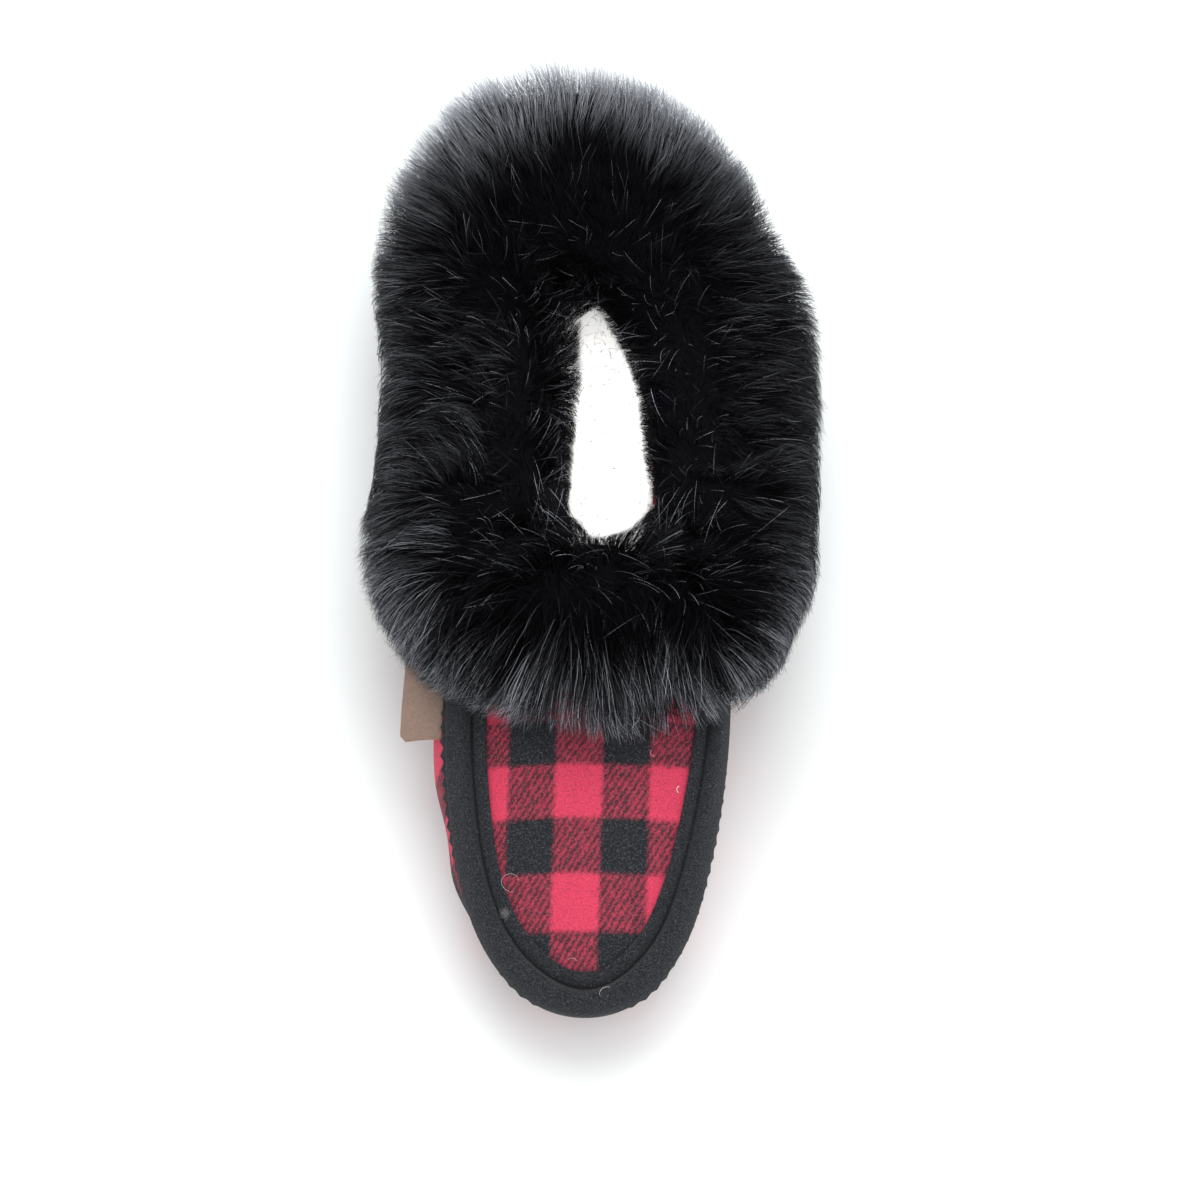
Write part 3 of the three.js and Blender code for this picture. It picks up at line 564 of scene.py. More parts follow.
side_wall = copy_of_node("upper", "wool_side_wall")
apply_modifier(side_wall, "SUBSURF", levels=2, render_levels=2)
bpy.ops.object.shade_smooth()
wall = points_of(side_wall)
for bulge_y, bulge_z, bulge in WALL_BULGES:
    near = ((wall[:, 1] - bulge_y) / BULGE_LENGTH) ** 2 + ((wall[:, 2] - bulge_z) / BULGE_HIGH) ** 2
    outer_side = np.clip(-wall[:, 0] / BULGE_SIDE_BAND, 0, 1)
    wall[:, 0] -= bulge * np.exp(-near / 2) * outer_side
put_points(side_wall, wall)
turn = np.arctan2(wall[:, 0] - WALL_CENTRE[0], -(wall[:, 1] - WALL_CENTRE[1]))
distance_out = np.hypot(wall[:, 0] - WALL_CENTRE[0], wall[:, 1] - WALL_CENTRE[1])
bearings = np.linspace(-math.pi, math.pi, OUTLINE_SECTORS + 1)
sector = np.clip(np.digitize(turn, bearings) - 1, 0, OUTLINE_SECTORS - 1)
outline = np.array([distance_out[sector == k].max() for k in range(OUTLINE_SECTORS)])
middle = (bearings[:-1] + bearings[1:]) / 2
outline_xy = np.stack([outline * np.sin(middle), -outline * np.cos(middle)], axis=1)
steps = np.linalg.norm(np.diff(outline_xy, axis=0), axis=1)
run = np.concatenate([[0], np.cumsum(steps)])
along_wall = np.interp(turn, middle, run)
toe_sector = OUTLINE_SECTORS // 2
left_half = slice(OUTLINE_SECTORS // 4, toe_sector)
left_y = outline_xy[left_half, 1] + WALL_CENTRE[1]
left_edge = np.interp(LEFT_CHECK_EDGE_Y, left_y[::-1], run[left_half][::-1])
lay_checks(
    side_wall,
    (along_wall - left_edge) / CHECK_ACROSS + 1,
    (wall[:, 2] - WALL_ROW_EDGE) / CHECK_HIGH,
)
side_wall.data.materials.append(plaid)
side_wall.data.materials.append(fleece)
for polygon in side_wall.data.polygons:
    spine_y = min(max(polygon.center.y, WALL_SPINE_Y[0]), WALL_SPINE_Y[1])
    outward = Vector((polygon.center.x - WALL_CENTRE[0], polygon.center.y - spine_y, 0))
    if polygon.normal.dot(outward.normalized()) < LINING_TURN:
        polygon.material_index = 1
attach(side_wall, "root")
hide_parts("upper")

# Plug: the tongue-shaped panel over the toes, cut from the same plaid and set into the seam.
# Its checks run square to the foot, and the cloth is a little fuller towards the throat.
COLUMN_EDGE_X = -0.01195
COLUMN_LEAN = 0.031
ROW_EDGES_Y = (-0.1409, -0.1248, -0.1087, -0.0931, -0.0780, -0.0659, -0.0531, -0.0396)
ROWS_AT_EDGES = (4, 3, 2, 1, 0, -1, -2, -3)

plug = copy_of_node("vamp_plug", "plaid_plug")
apply_modifier(plug, "SUBSURF", levels=2, render_levels=2)
bpy.ops.object.shade_smooth()
panel = points_of(plug)
lay_checks(
    plug,
    (panel[:, 0] - COLUMN_EDGE_X - COLUMN_LEAN * (panel[:, 1] - ROW_EDGES_Y[4])) / CHECK_ACROSS,
    np.interp(panel[:, 1], ROW_EDGES_Y, ROWS_AT_EDGES),
)
plug.data.materials.append(plaid)
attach(plug, "root")
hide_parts("vamp_plug")

# Felt trim: a folded band of black wool felt over the seam between plug and side wall.
# It is stitched down along a groove, so that a narrow inner lip and a wide outer roll stand. Down in
# the groove the felt is darkened with painted shade.
FELT_BLACK = "#17181B"
FELT_LINT = "#44464D"
# Near-black painted shade for the felt down in the groove.
FELT_GROOVE_SHADE = "#0B0B0D"
GROOVE_SHADE_DEPTH = 0.0002
FOLD_CREASE = 0.3
STATION_LENGTH = 0.0048
EVENING_ROUNDS = 16

felt, tree, shader = new_material(
    "wool_felt",
    {
        "Roughness": 0.95,
        "IOR": 1.54,
        "Specular IOR Level": 0.2,
        "Sheen Weight": 0.08,
        "Sheen Roughness": 0.5,
    },
)
coords = add_node(tree, "ShaderNodeTexCoord")
matting = add_node(
    tree,
    "ShaderNodeTexNoise",
    {"Scale": 2100, "Detail": 4, "Roughness": 0.65},
    {"Vector": coords.outputs["Object"]},
)
lint_range = add_node(
    tree, "ShaderNodeMapRange", {"From Min": 0.44, "From Max": 0.74}, {"Value": matting.outputs["Fac"]}
)
matted_colour = add_node(
    tree,
    "ShaderNodeMix",
    {"data_type": "RGBA", 6: linear(FELT_BLACK), 7: linear(FELT_LINT)},
    {0: lint_range.outputs[0]},
)
# Painted shade: the felt's colour is darkened towards near-black where its surface sinks into the
# groove between lip and roll.
groove_shade = add_node(tree, "ShaderNodeAttribute", {"attribute_name": "groove_shade"})
felt_colour = add_node(
    tree,
    "ShaderNodeMix",
    {"data_type": "RGBA", 7: linear(FELT_GROOVE_SHADE)},
    {0: groove_shade.outputs["Fac"], 6: matted_colour.outputs[2]},
)
felt_bump = add_node(
    tree, "ShaderNodeBump", {"Strength": 0.6, "Distance": 0.0005}, {"Height": matting.outputs["Fac"]}
)
tree.links.new(felt_colour.outputs[2], shader.inputs["Base Color"])
tree.links.new(felt_bump.outputs["Normal"], shader.inputs["Normal"])

felt_trim = copy_of_node("felt_trim", "felt_band")
folds = felt_trim.data.attributes.new("crease_edge", "FLOAT", "EDGE")
for edge in felt_trim.data.edges:
    start, end = (felt_trim.data.vertices[index].co for index in edge.vertices)
    folds.data[edge.index].value = FOLD_CREASE if (end - start).length > STATION_LENGTH else 0
apply_modifier(felt_trim, "SUBSURF", levels=2, render_levels=2)
bpy.ops.object.shade_smooth()
band = points_of(felt_trim)
edge_ends = np.empty(len(felt_trim.data.edges) * 2, np.int64)
felt_trim.data.edges.foreach_get("vertices", edge_ends)
edge_ends = edge_ends.reshape(-1, 2)
neighbours = np.bincount(edge_ends.ravel(), minlength=len(band))[:, None]
evened = band.copy()
for _ in range(EVENING_ROUNDS):
    gathered = np.zeros_like(evened)
    np.add.at(gathered, edge_ends[:, 0], evened[edge_ends[:, 1]])
    np.add.at(gathered, edge_ends[:, 1], evened[edge_ends[:, 0]])
    evened += 0.5 * (gathered / neighbours - evened)
# How deep each point sinks below the evened surface sets how much painted shade the groove gets.
sunk = ((evened - band) * normals_of(felt_trim)).sum(axis=1)
felt_trim.data.attributes.new("groove_shade", "FLOAT", "POINT").data.foreach_set(
    "value", np.clip(sunk / GROOVE_SHADE_DEPTH, 0, 1)
)
felt_trim.data.materials.append(felt)
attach(felt_trim, "root")
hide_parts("felt_trim")

# Pinked strip: a flat felt strip under the band, whose outer edge is cut with pinking shears.
# The cut leaves a row of small triangular teeth that stand over the side wall.
FELT_ROUNDING = 0.00018
ROUNDED_FROM = math.radians(40)
SMOOTH_BELOW = math.radians(35)

pinked = copy_of_node("pinked_strip", "pinked_felt_strip")
apply_modifier(
    pinked,
    "BEVEL",
    width=FELT_ROUNDING,
    segments=2,
    limit_method="ANGLE",
    angle_limit=ROUNDED_FROM,
)
bpy.ops.object.shade_smooth_by_angle(angle=SMOOTH_BELOW)
pinked.data.materials.append(felt)
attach(pinked, "root")
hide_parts("pinked_strip")

# Lint: pale fibres caught in the nap of the plug and of the felt, a few bent threads among them,
# and a small ball of fuzz on the band's inner lip. They lie on the cloth as single fibres.
LINT_PALE = "#A9A9A5"
THREAD_CREAM = "#EAE5D8"
LINT_RADIUS = 0.000035
LINT_SHORTEST = 0.0003
LINT_LONGER = 0.0012
LINT_RISE = 0.00008
LINT_SEED = 23
FUZZ_PLACE = (-0.0267, -0.1194)
FUZZ_FIBRES = 260
FUZZ_SPREAD = 0.0008
FUZZ_LENGTH = 0.0011
FUZZ_RISE = 0.0004
ABOVE_SLIPPER = 0.12
THREAD_STATIONS = 9
THREADS = (
    ((0.0246, -0.0842), 0.0011, 1.9, 2.4, 0.00016),
    ((-0.0252, -0.1106), 0.0026, 0.2, 5.2, 0.00004),
    ((-0.0071, -0.1337), 0.0016, 0.5, 2.0, 0.00004),
    ((0.0031, -0.1428), 0.0022, 1.2, 2.2, 0.00005),
    ((0.0168, -0.0745), 0.0010, 2.5, 2.6, 0.00005),
)

shell_vertices = []
shell_faces = []
for solid in ("upper", "vamp_plug", "felt_trim", "pinked_strip", "side_label"):
    mesh = frame["nodes"][solid].data
    start = len(shell_vertices)
    shell_vertices += [vertex.co.copy() for vertex in mesh.vertices]
    shell_faces += [[start + index for index in polygon.vertices] for polygon in mesh.polygons]
shell_tree = BVHTree.FromPolygons(shell_vertices, shell_faces)

lint_wool, tree, shader = new_material(
    "pale_wool_fibre", {"Base Color": linear(LINT_PALE), "Roughness": 0.9, "IOR": 1.54}
)
coords = add_node(tree, "ShaderNodeTexCoord")
dust = add_node(
    tree, "ShaderNodeTexNoise", {"Scale": 800, "Detail": 2}, {"Vector": coords.outputs["Object"]}
)
lint_colour = add_node(
    tree,
    "ShaderNodeMix",
    {"data_type": "RGBA", 6: linear(FELT_LINT), 7: linear(LINT_PALE)},
    {0: dust.outputs["Fac"]},
)
tree.links.new(lint_colour.outputs[2], shader.inputs["Base Color"])
cream_thread = new_material("cream_cotton_thread", {"Base Color": linear(THREAD_CREAM)})[0]


def on_cloth(x, y):
    """The place on the shell above this point of the floor, and its normal."""
    place, normal, _, _ = shell_tree.ray_cast(Vector((x, y, ABOVE_SLIPPER)), Vector((0, 0, -1)))
    return place, normal


def fibres_on(name, places, normals, lengths, rise, rng):
    """Single bent fibres that lie on the cloth at these places."""
    first = rng.normal(size=places.shape)
    first = unit(first - normals * (first * normals).sum(axis=1, keepdims=True))
    bent = unit(first + np.cross(normals, first) * rng.normal(size=(len(places), 1)) * 0.7)
    low = places + normals * LINT_RADIUS
    middle = low + first * lengths * 0.5 + normals * rise
    lines = np.stack([low, middle, middle + bent * lengths * 0.5 - normals * rise], axis=1)
    thickness = np.full((len(places), 2), LINT_RADIUS)
    piece = strand_mesh(name, lines, thickness, rng.random(len(places)), rng)
    piece.data.materials.append(lint_wool)
    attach(piece, "root")


rng = np.random.default_rng(LINT_SEED)
for name, cloth_piece, count in (
    ("lint_on_plug", plug, 260),
    ("lint_on_band", felt_trim, 380),
):
    places, normals = scattered_on(cloth_piece, count * 4, rng)
    upper_side = np.flatnonzero(normals[:, 2] > 0.35)[:count]
    lengths = LINT_SHORTEST + LINT_LONGER * rng.random((len(upper_side), 1)) ** 3
    fibres_on(name, places[upper_side], normals[upper_side], lengths, LINT_RISE, rng)
fuzz = [
    on_cloth(*(np.array(FUZZ_PLACE) + FUZZ_SPREAD * rng.normal(size=2) * 0.6))
    for _ in range(FUZZ_FIBRES)
]
fuzz_places, fuzz_normals = (np.array([list(item[k]) for item in fuzz]) for k in range(2))
fuzz_lengths = np.full((FUZZ_FIBRES, 1), FUZZ_LENGTH)
fibres_on("fuzz_ball", fuzz_places, fuzz_normals, fuzz_lengths, FUZZ_RISE, rng)
for number, ((x, y), bow, start_turn, sweep_turn, thickness) in enumerate(THREADS):
    turns = start_turn + sweep_turn * np.linspace(0, 1, THREAD_STATIONS)
    line = []
    for turn_here in turns:
        place, normal = on_cloth(x + bow * math.cos(turn_here), y + bow * math.sin(turn_here))
        line.append(list(place + normal * thickness))
    piece = strand_mesh(
        "loose_thread_%d" % number,
        np.array([line]),
        np.full((1, THREAD_STATIONS - 1), thickness),
        np.array([0.5]),
        rng,
    )
    piece.data.materials.append(cream_thread)
    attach(piece, "root")

# Label: a folded tab of tan leather, caught in the seam on the outer side under the fur.
# Its face is smooth grain leather left bare, and its cut edge is paler.
LEATHER_TAN = "#9E8477"
LEATHER_DEEP = "#5E4A3D"
LEATHER_EDGE = "#A38B7A"
LEATHER_ROUNDING = 0.00025

leather, tree, shader = new_material("grained_leather", {"Roughness": 0.58, "IOR": 1.5})
coords = add_node(tree, "ShaderNodeTexCoord")
pores = add_node(
    tree,
    "ShaderNodeTexVoronoi",
    {"feature": "DISTANCE_TO_EDGE", "Scale": 1100},
    {"Vector": coords.outputs["Object"]},
)
mottle = add_node(
    tree,
    "ShaderNodeTexNoise",
    {"Scale": 1300, "Detail": 5, "Roughness": 0.7},
    {"Vector": coords.outputs["Object"]},
)
leather_colour = add_node(
    tree,
    "ShaderNodeMix",
    {"data_type": "RGBA", 6: linear(LEATHER_DEEP), 7: linear(LEATHER_TAN)},
    {0: mottle.outputs["Fac"]},
)
leather_bump = add_node(
    tree, "ShaderNodeBump", {"Strength": 0.7, "Distance": 0.0003}, {"Height": pores.outputs[0]}
)
tree.links.new(leather_colour.outputs[2], shader.inputs["Base Color"])
tree.links.new(leather_bump.outputs["Normal"], shader.inputs["Normal"])
cut_leather = new_material(
    "cut_leather_edge", {"Base Color": linear(LEATHER_EDGE), "Roughness": 0.8, "IOR": 1.5}
)[0]

label = copy_of_node("side_label", "leather_label")
apply_modifier(
    label,
    "BEVEL",
    width=LEATHER_ROUNDING,
    segments=3,
    limit_method="ANGLE",
    angle_limit=ROUNDED_FROM,
)
bpy.ops.object.shade_smooth_by_angle(angle=SMOOTH_BELOW)
label.data.materials.append(leather)
label.data.materials.append(cut_leather)
label_faces = sorted(label.data.polygons, key=lambda polygon: -polygon.area)
label_front = label_faces[0].normal.copy()
for polygon in label.data.polygons:
    if abs(polygon.normal.dot(label_front)) < 0.5:
        polygon.material_index = 1
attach(label, "root")
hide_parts("side_label")

# Fur collar: a roll of dyed black rabbit fur on its pelt, turned out over the mouth and sewn
# down. Under the long hair lies a dense dark undercoat. The hair stands up along the crest and
# lies outwards and down from it, longest over the toes and sleek at the heel.
# The gloss of the black hair is painted into its colour: a painted grey sheen towards the tips along
# the outer rim, strongest over the heel's top.
UNDERCOAT_VOXEL = 0.0024
UNDERCOAT_INSET = 0.0014
MOUTH_MATTING = 0.0042
SPINE_X = 0.00275
SPINE_FRONT_Y = 0.0
SPINE_BACK_Y = 0.05
HAIR_BLACK = "#060608"
# The grey painted on the hair tips as painted sheen.
HAIR_SHEEN_GREY = "#CED2DC"
HAIR_STATIONS = 4
HAIR_RADIUS = 0.000095
HAIR_LENGTH = 0.0185
HAIR_SHORTEST = 0.004
HAIR_LONGEST = 0.034
HAIR_TOP = 0.0975
HAIR_TOTAL = 51000
TUFT_SHARE = 12
GUARD_STIFFNESS = 0.6
WOOL_CLEARANCE = 0.0004
SOLID_OVERHANG = 0.0085
OUTLINE_CENTRE = (0.00025, 0.0354)
OUTLINE_HEIGHT = 0.055
OUTLINE_REACH = (
    (-180, 120), (-170, 122), (-160, 119.5), (-150, 111), (-140, 101.5), (-130, 90), (-120, 80),
    (-110, 71), (-100, 67), (-90, 66), (-80, 67), (-70, 71.5), (-65, 76), (-60, 85), (-50, 92),
    (-40, 98), (-30, 103.5), (-20, 105), (-10, 107), (0, 108.5), (10, 109), (20, 108),
    (30, 101.5), (40, 94), (50, 86.5), (60, 76), (70, 71), (80, 68.5), (90, 68), (100, 69),
    (110, 73), (120, 77), (130, 78), (140, 84.5), (150, 94), (160, 104), (170, 113), (180, 119),
)
MOUTH_EDGES = (
    (-5.5, -1.7, 2.9), (-3.5, -3.5, 9.8), (-1.6, -4.4, 13.1), (0.4, -7.6, 14.0),
    (3.3, -9.0, 17.6), (8.3, -7.9, 17.4), (14.2, -7.6, 16.2), (20.1, -6.9, 15.0),
    (26.1, -6.4, 14.6), (32.1, -5.4, 13.8), (38.1, -4.5, 13.2), (44.2, -3.7, 11.8),
    (50.2, -3.7, 9.6), (56.3, -3.9, 7.0), (62.4, -4.0, 3.4), (68.6, -3.0, -0.5),
)
MOUTH_FRINGE = 0.0016
MOUTH_WIDTH = 0.02
FUR_SEED = 7
FRONT_START_Y = -0.0076
HEEL_START_Y = 0.0724
REGION_BLEND = 0.03
ROOT_DEPTH = 0.001
ROOT_PROBE = 0.003
ROOT_ROOM = 0.0022
NEAR_CLOTH = 0.012
LENGTHENING = 1.1
SHORTENING = 0.86

fur_solid = frame["nodes"]["fur_collar"].data
fur_tree = BVHTree.FromPolygons(
    [vertex.co.copy() for vertex in fur_solid.vertices],
    [list(polygon.vertices) for polygon in fur_solid.polygons],
)

undercoat = copy_of_node("fur_collar", "fur_undercoat")
apply_modifier(undercoat, "REMESH", mode="VOXEL", voxel_size=UNDERCOAT_VOXEL)
apply_modifier(undercoat, "SMOOTH", factor=0.5, iterations=45)
apply_modifier(undercoat, "REMESH", mode="VOXEL", voxel_size=UNDERCOAT_VOXEL)
apply_modifier(undercoat, "SMOOTH", factor=0.5, iterations=6)
bpy.ops.object.mode_set(mode="EDIT")
bpy.ops.mesh.select_all(action="DESELECT")
bpy.ops.object.mode_set(mode="OBJECT")
undercoat.data.vertices[int(np.argmax(points_of(undercoat)[:, 2]))].select = True
bpy.ops.object.mode_set(mode="EDIT")
bpy.ops.mesh.select_linked()
bpy.ops.mesh.select_all(action="INVERT")
bpy.ops.mesh.delete(type="VERT")
bpy.ops.object.mode_set(mode="OBJECT")
bpy.ops.object.shade_smooth()
skin = points_of(undercoat)
skin_normals = normals_of(undercoat)
nearness = np.array([shell_tree.find_nearest(Vector(p))[3] for p in skin])
inset = UNDERCOAT_INSET * np.clip((nearness - 0.001) / 0.005, 0, 1)
mouth_side = np.clip(skin_normals[:, 0] * 2, 0, 1) * np.clip((SPINE_X - skin[:, 0]) / 0.004, 0, 1)
mouth_side *= np.clip((skin[:, 1] + 0.008) / 0.008, 0, 1) * np.clip((0.07 - skin[:, 1]) / 0.02, 0, 1)
front_lip = np.clip(skin_normals[:, 1] * 2, 0, 1) * np.clip((0.006 - skin[:, 1]) / 0.006, 0, 1)
front_lip *= np.clip((skin[:, 1] + 0.02) / 0.008, 0, 1)
mouth_side = np.maximum(mouth_side, 1.5 * front_lip)
inset -= MOUTH_MATTING * mouth_side * np.clip((skin[:, 2] - 0.035) / 0.01, 0, 1)
put_points(undercoat, skin - skin_normals * inset[:, None])

# The hair's colour runs from black at the root towards a painted grey sheen at the tip, as much as
# each hair's painted sheen value says.
fur, tree, shader = new_material(
    "dyed_rabbit_fur_painted_sheen", {"Roughness": 0.5, "IOR": 1.55, "Specular IOR Level": 0.03}
)
along = add_node(tree, "ShaderNodeAttribute", {"attribute_name": "along"})
tone_and_sheen = add_node(tree, "ShaderNodeAttribute", {"attribute_name": "tone_and_sheen"})
sheen_toward_tip = add_node(
    tree,
    "ShaderNodeMath",
    {"operation": "MULTIPLY"},
    {0: along.outputs["Fac"], 1: tone_and_sheen.outputs["Fac"]},
)
hair_colour = add_node(
    tree,
    "ShaderNodeMix",
    {"data_type": "RGBA", 6: linear(HAIR_BLACK), 7: linear(HAIR_SHEEN_GREY)},
    {0: sheen_toward_tip.outputs[0]},
)
tree.links.new(hair_colour.outputs[2], shader.inputs["Base Color"])

undercoat_fur, tree, shader = new_material(
    "matted_undercoat",
    {
        "Base Color": linear(HAIR_BLACK),
        "Roughness": 0.9,
        "IOR": 1.55,
        "Specular IOR Level": 0.03,
    },
)
coords = add_node(tree, "ShaderNodeTexCoord")
mats = add_node(
    tree, "ShaderNodeTexNoise", {"Scale": 900, "Detail": 4}, {"Vector": coords.outputs["Object"]}
)
mat_bump = add_node(
    tree, "ShaderNodeBump", {"Strength": 1.0, "Distance": 0.001}, {"Height": mats.outputs["Fac"]}
)
tree.links.new(mat_bump.outputs["Normal"], shader.inputs["Normal"])
undercoat.data.materials.append(undercoat_fur)
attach(undercoat, "root")
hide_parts("fur_collar")

rng = np.random.default_rng(FUR_SEED)
noise.seed_set(FUR_SEED)
roots, facing = scattered_on(undercoat, HAIR_TOTAL * 3, rng)
probe = roots + facing * ROOT_PROBE
gap_ahead = np.array([shell_tree.find_nearest(Vector(p))[3] for p in probe])
spine = np.stack(
    [np.full(len(roots), SPINE_X), np.clip(roots[:, 1], SPINE_FRONT_Y, SPINE_BACK_Y), roots[:, 2]],
    axis=1,
)
outward = unit(roots - spine)
outness = (facing * outward).sum(axis=1)
front = np.clip((FRONT_START_Y - roots[:, 1]) / REGION_BLEND, 0, 1)
density = 0.45 + 0.12 * np.sign(outness) + 0.43 * front * np.clip(outness, 0, 1)
density += 0.2 * ((outness < -0.2) & (roots[:, 0] < SPINE_X) & (roots[:, 1] > -0.01))
density += 0.5 * ((facing[:, 1] > 0.3) & (roots[:, 1] < 0.008) & (outness < 0.1))
showing = (gap_ahead > ROOT_ROOM) & (rng.random(len(roots)) < density)
showing = np.flatnonzero(showing)[:HAIR_TOTAL]
roots, facing, outward = roots[showing], facing[showing], outward[showing]
outness, front = outness[showing], front[showing]
hairs = len(roots)
heel = np.clip((roots[:, 1] - HEEL_START_Y) / REGION_BLEND, 0, 1)
side = (1 - front) * (1 - heel)
inner = np.clip(0.25 - outness, 0, 1)
crest = np.clip(facing[:, 2], 0, 1) * np.clip(1 - outness, 0, 1)

sweep = outward.copy()
sweep[:, 2] -= 0.45 * np.clip(outness + 0.3, 0, 1)
sweep[:, 1] -= 0.30 * side
sweep[:, 2] += 0.9 * np.clip(-outness, 0, 1)
swirl = np.array([noise.noise_vector(Vector(p * 45)) for p in roots])
whorl = np.array([noise.noise_vector(Vector(p * 130)) for p in roots])
unruly = 0.3 + 0.9 * inner + 0.6 * crest + 0.25 * front
unruly *= 1 - 0.6 * heel * np.clip(outness + 0.3, 0, 1)
sweep += (swirl + whorl * 0.9) * unruly[:, None]
lying = unit(sweep - facing * (sweep * facing).sum(axis=1, keepdims=True))

guard = rng.random(hairs) < 0.05 + 0.05 * np.clip(0.4 - outness, 0, 1)
stray = np.where(guard, 0.34, 0.13)[:, None]
lift = 0.32 + 0.36 * crest + 0.42 * inner - 0.12 * heel - 0.12 * front
lift = np.clip(lift + 0.1 * rng.normal(size=hairs), 0.1, 0.95)[:, None]
into_mouth = -0.5 * outward * np.clip(0.1 - outness, 0, 0.6)[:, None] * [1, 1, 0]
start_way = unit(
    facing * lift
    + lying * (1 - lift)
    + into_mouth
    + 0.7 * stray * rng.normal(size=(hairs, 3))
)
rise = (0.08 + 0.5 * crest * (1 - front))[:, None]
end_way = unit(
    lying
    + facing * rise
    + 0.9 * into_mouth
    + np.array([0, 0, -0.22])
    + stray * rng.normal(size=(hairs, 3))
)
length = HAIR_LENGTH * (0.7 + 0.5 * rng.random(hairs)) * np.where(guard, 1.12, 1.0)
length *= 1 + 0.5 * front - 0.25 * heel - 0.25 * inner


def hair_paths(lengths):
    """Each hair's stations from its root: it springs up, turns over and lies down."""
    reach = lengths[:, None]
    first = roots + start_way * reach * 0.36
    second = first + unit(start_way + end_way) * reach * 0.34
    tip = second + end_way * reach * 0.30
    return np.stack([roots - facing * ROOT_DEPTH, first, second, tip], axis=1)


bearings = np.array([bearing for bearing, _ in OUTLINE_REACH])
reaches = np.array([reach for _, reach in OUTLINE_REACH]) / 1000
mouth_y, mouth_left, mouth_right = np.array(MOUTH_EDGES).T / 1000
fringe = 0.0008 - 0.0045 * rng.random(hairs) ** 2 + np.where(guard, 0.0015, 0)
mouth_fringe = MOUTH_FRINGE * rng.random(hairs) ** 2
camera_place = np.array(camera.location)


def seen_at_rim_height(places):
    """Where the camera's line through each place meets the height of the collar's rim."""
    drop = (camera_place[2] - OUTLINE_HEIGHT) / (camera_place[2] - places[:, 2])
    return camera_place[:2] + (places[:, :2] - camera_place[:2]) * drop[:, None]


def past_outline(places):
    """How far each place is seen outside the collar's outline; below nothing it is inside."""
    seen = seen_at_rim_height(places) - OUTLINE_CENTRE
    bearing = np.degrees(np.arctan2(seen[:, 0], -seen[:, 1]))
    return np.hypot(seen[:, 0], seen[:, 1]) - np.interp(bearing, bearings, reaches)


def over_mouth(places):
    """How far each place is seen inside the mouth's edge; below nothing it is on the fur."""
    seen = seen_at_rim_height(places)
    left = np.interp(seen[:, 1], mouth_y, mouth_left, left=1, right=1)
    right = np.interp(seen[:, 1], mouth_y, mouth_right, left=-1, right=-1)
    narrowness = np.clip(MOUTH_WIDTH / np.maximum(right - left, 0.001), 1, 5)
    return np.minimum(seen[:, 0] - left, right - seen[:, 0]) * narrowness


for attempt in range(8):
    tips = hair_paths(length)[:, -1]
    missing = fringe - past_outline(tips)
    length[(outness > 0.3) & (missing > 0.001) & (missing < 0.018) & (attempt < 6)] *= LENGTHENING
    missing = mouth_fringe - over_mouth(tips)
    length[(outness < 0.2) & (missing > 0.0003) & (missing < 0.012)] *= LENGTHENING
length = np.minimum(length, HAIR_LONGEST)
for attempt in range(9):
    stations = hair_paths(length)
    tips = stations[:, -1]
    beyond = np.maximum(past_outline(tips), past_outline(stations[:, -2])) > fringe
    beyond |= over_mouth(tips) > mouth_fringe
    beyond |= tips[:, 2] > HAIR_TOP
    beyond |= over_mouth(stations[:, -2]) > mouth_fringe
    if attempt < 4:
        for k in np.flatnonzero(~beyond):
            where, normal, _, _ = fur_tree.find_nearest(Vector(tips[k]))
            beyond[k] = (Vector(tips[k]) - where).dot(normal) > SOLID_OVERHANG
    length[beyond] *= SHORTENING
length = np.maximum(length, HAIR_SHORTEST)
paths = hair_paths(length)

tufts = hairs // TUFT_SHARE
tuft_tree = KDTree(tufts)
for k in range(tufts):
    tuft_tree.insert(Vector(roots[k]), k)
tuft_tree.balance()
nearest_tuft = np.array([tuft_tree.find(Vector(p))[1] for p in roots])
cling = (0.05 + 0.4 * rng.random(tufts))[nearest_tuft] * (1 - 0.5 * heel) * np.where(guard, 0.2, 1)
for station, pull in ((1, 0.1), (2, 0.35), (3, 0.7)):
    paths[:, station] += (paths[nearest_tuft, station] - paths[:, station]) * (
        cling * pull
    )[:, None]

for station in range(1, HAIR_STATIONS):
    for k in range(hairs):
        point = Vector(paths[k, station])
        where, normal, _, gap = shell_tree.find_nearest(point)
        if (point - where).dot(normal) < WOOL_CLEARANCE and gap < NEAR_CLOTH:
            paths[k, station] = where + normal * WOOL_CLEARANCE

chord = paths[guard, 3] - paths[guard, 0]
for station in (1, 2):
    straight = paths[guard, 0] + chord * (station / 3)
    paths[guard, station] += (straight - paths[guard, station]) * GUARD_STIFFNESS

in_the_way = np.zeros(hairs, bool)
for place in (1, 1.5, 2, 2.35, 2.7, 3):
    behind, share = min(int(place), 2), place - min(int(place), 2)
    between = paths[:, behind] * (1 - share) + paths[:, behind + 1] * share
    in_the_way |= over_mouth(between) > mouth_fringe + 0.001
    in_the_way |= past_outline(between) > fringe + 0.0015
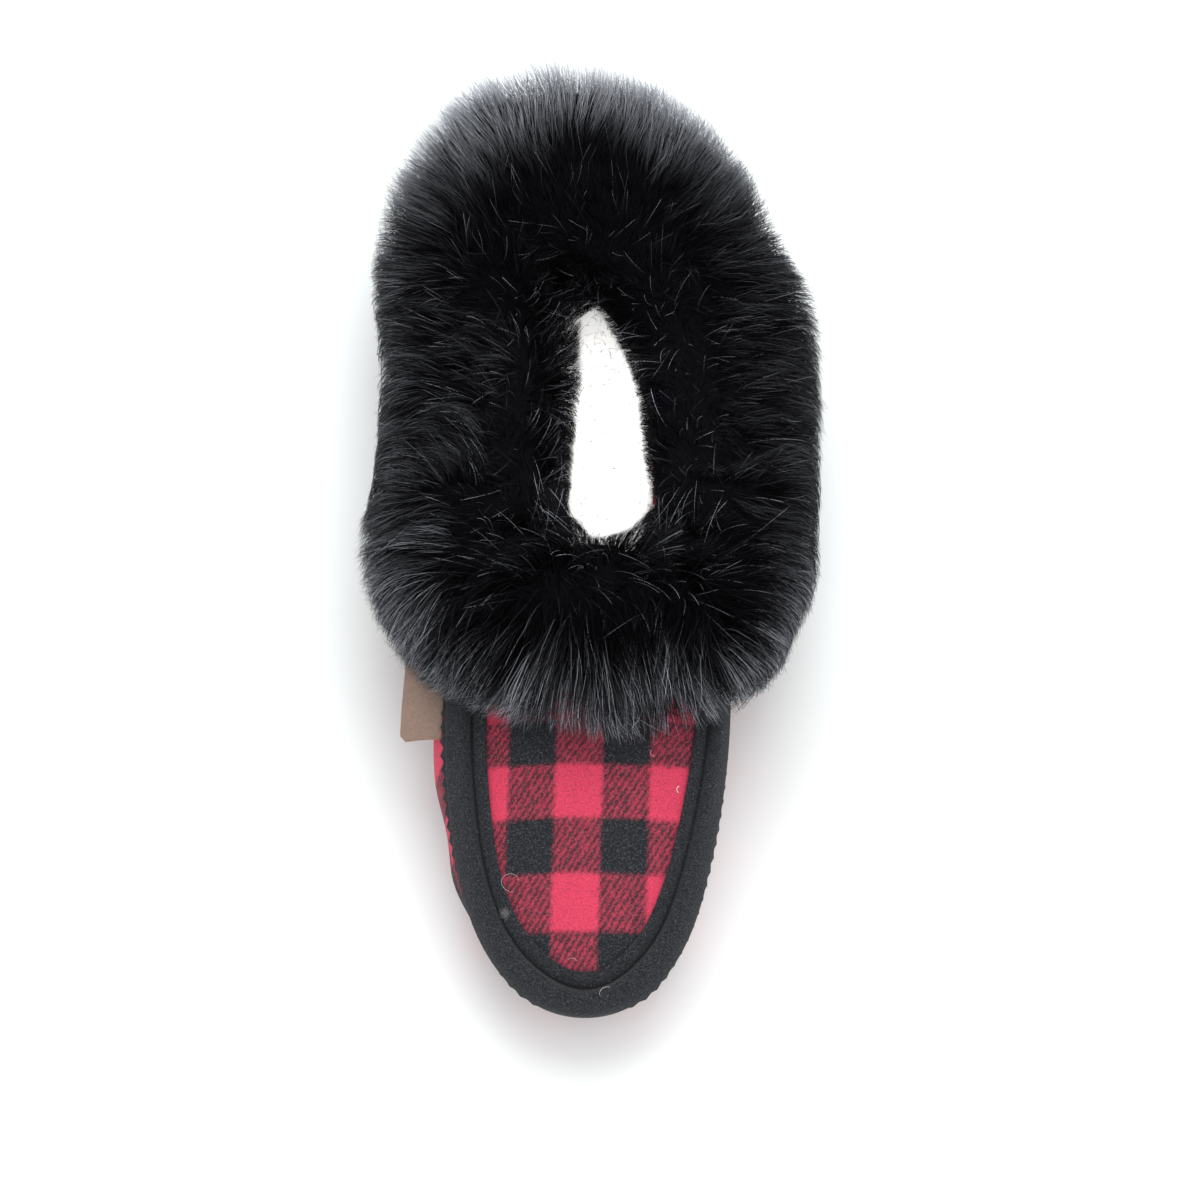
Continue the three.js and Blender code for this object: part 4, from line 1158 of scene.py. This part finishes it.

# Painted sheen: how much grey is painted into each hair towards its tip, in place of the gloss of
# black hair in the light. It is most along the outer rim over the heel's top left, then over the toes
# and the outer side, and least on the inner side. It is patchy by locks and at random, and the guard
# hairs get a random grey.
on_rim = np.clip((outness + 0.15 - 0.3 * front - 0.1 * heel) / 0.6, 0, 1)
turned_to_light = np.clip(1.15 - 14 * np.abs(roots[:, 0] + 0.012), 0.4, 1)
turned_to_light *= np.clip((roots[:, 1] - 0.085) / 0.04, 0.25, 1)
painted_sheen_reach = 0.03 + on_rim * (
    7.5 * heel * turned_to_light
    + 2.8 * front
    + side * np.where(roots[:, 0] < SPINE_X, 0.75, 0.35)
)
locks_light = np.array([noise.noise(Vector(p * 170)) for p in roots])
painted_sheen_tone = painted_sheen_reach * np.clip(0.55 + (1 + 0.5 * front - 0.6 * heel) * locks_light, 0, 1)
evenness = 0.05 + 0.3 * heel
painted_sheen_tone *= evenness + (1 + front - evenness) * rng.random(hairs) ** (3 + 3 * front)
painted_sheen_tone = np.clip(painted_sheen_tone, 0, 1)
painted_sheen_tone[guard] = 0.06 + 0.75 * rng.random(guard.sum()) ** 2
thickness = HAIR_RADIUS * (0.75 + 0.5 * rng.random(hairs)) * np.where(guard, 0.7, 1.0)
thickness *= 1 - 0.2 * heel
radii = thickness[:, None] * np.array([1.0, 0.95, 0.6])


def smooth_hairs(mine, steps):
    """Paths and thicknesses of these hairs along a smooth curve with this many steps."""
    t = np.linspace(0, 1, steps + 1)
    weights = np.stack([(1 - t) ** 3, 3 * t * (1 - t) ** 2, 3 * t**2 * (1 - t), t**3], axis=1)
    lines = np.einsum("sk,hkc->hsc", weights, paths[mine])
    return lines, thickness[mine][:, None] * (1 - 0.5 * t[:-1] ** 2)


outer_half = roots[:, 0] < SPINE_X
regions = {
    "fur_guard_hairs": guard,
    "fur_inside": outness < 0,
    "fur_front_outer": (front > 0.35) & outer_half,
    "fur_front_inner": front > 0.35,
    "fur_heel_outer": (heel > 0.35) & outer_half,
    "fur_heel_inner": heel > 0.35,
    "fur_outer_side": outer_half,
    "fur_inner_side": ~outer_half,
}
left_over = ~in_the_way
for piece_name, region in regions.items():
    mine = np.flatnonzero(region & left_over)
    left_over[mine] = False
    if piece_name == "fur_guard_hairs":
        hair_lines, hair_radii = smooth_hairs(mine, 6)
    elif piece_name == "fur_inside":
        hair_lines, hair_radii = smooth_hairs(mine, 2)
    else:
        hair_lines, hair_radii = paths[mine], radii[mine]
    hair = strand_mesh(piece_name, hair_lines, hair_radii, painted_sheen_tone[mine], rng)
    hair.data.materials.append(fur)
    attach(hair, "root")
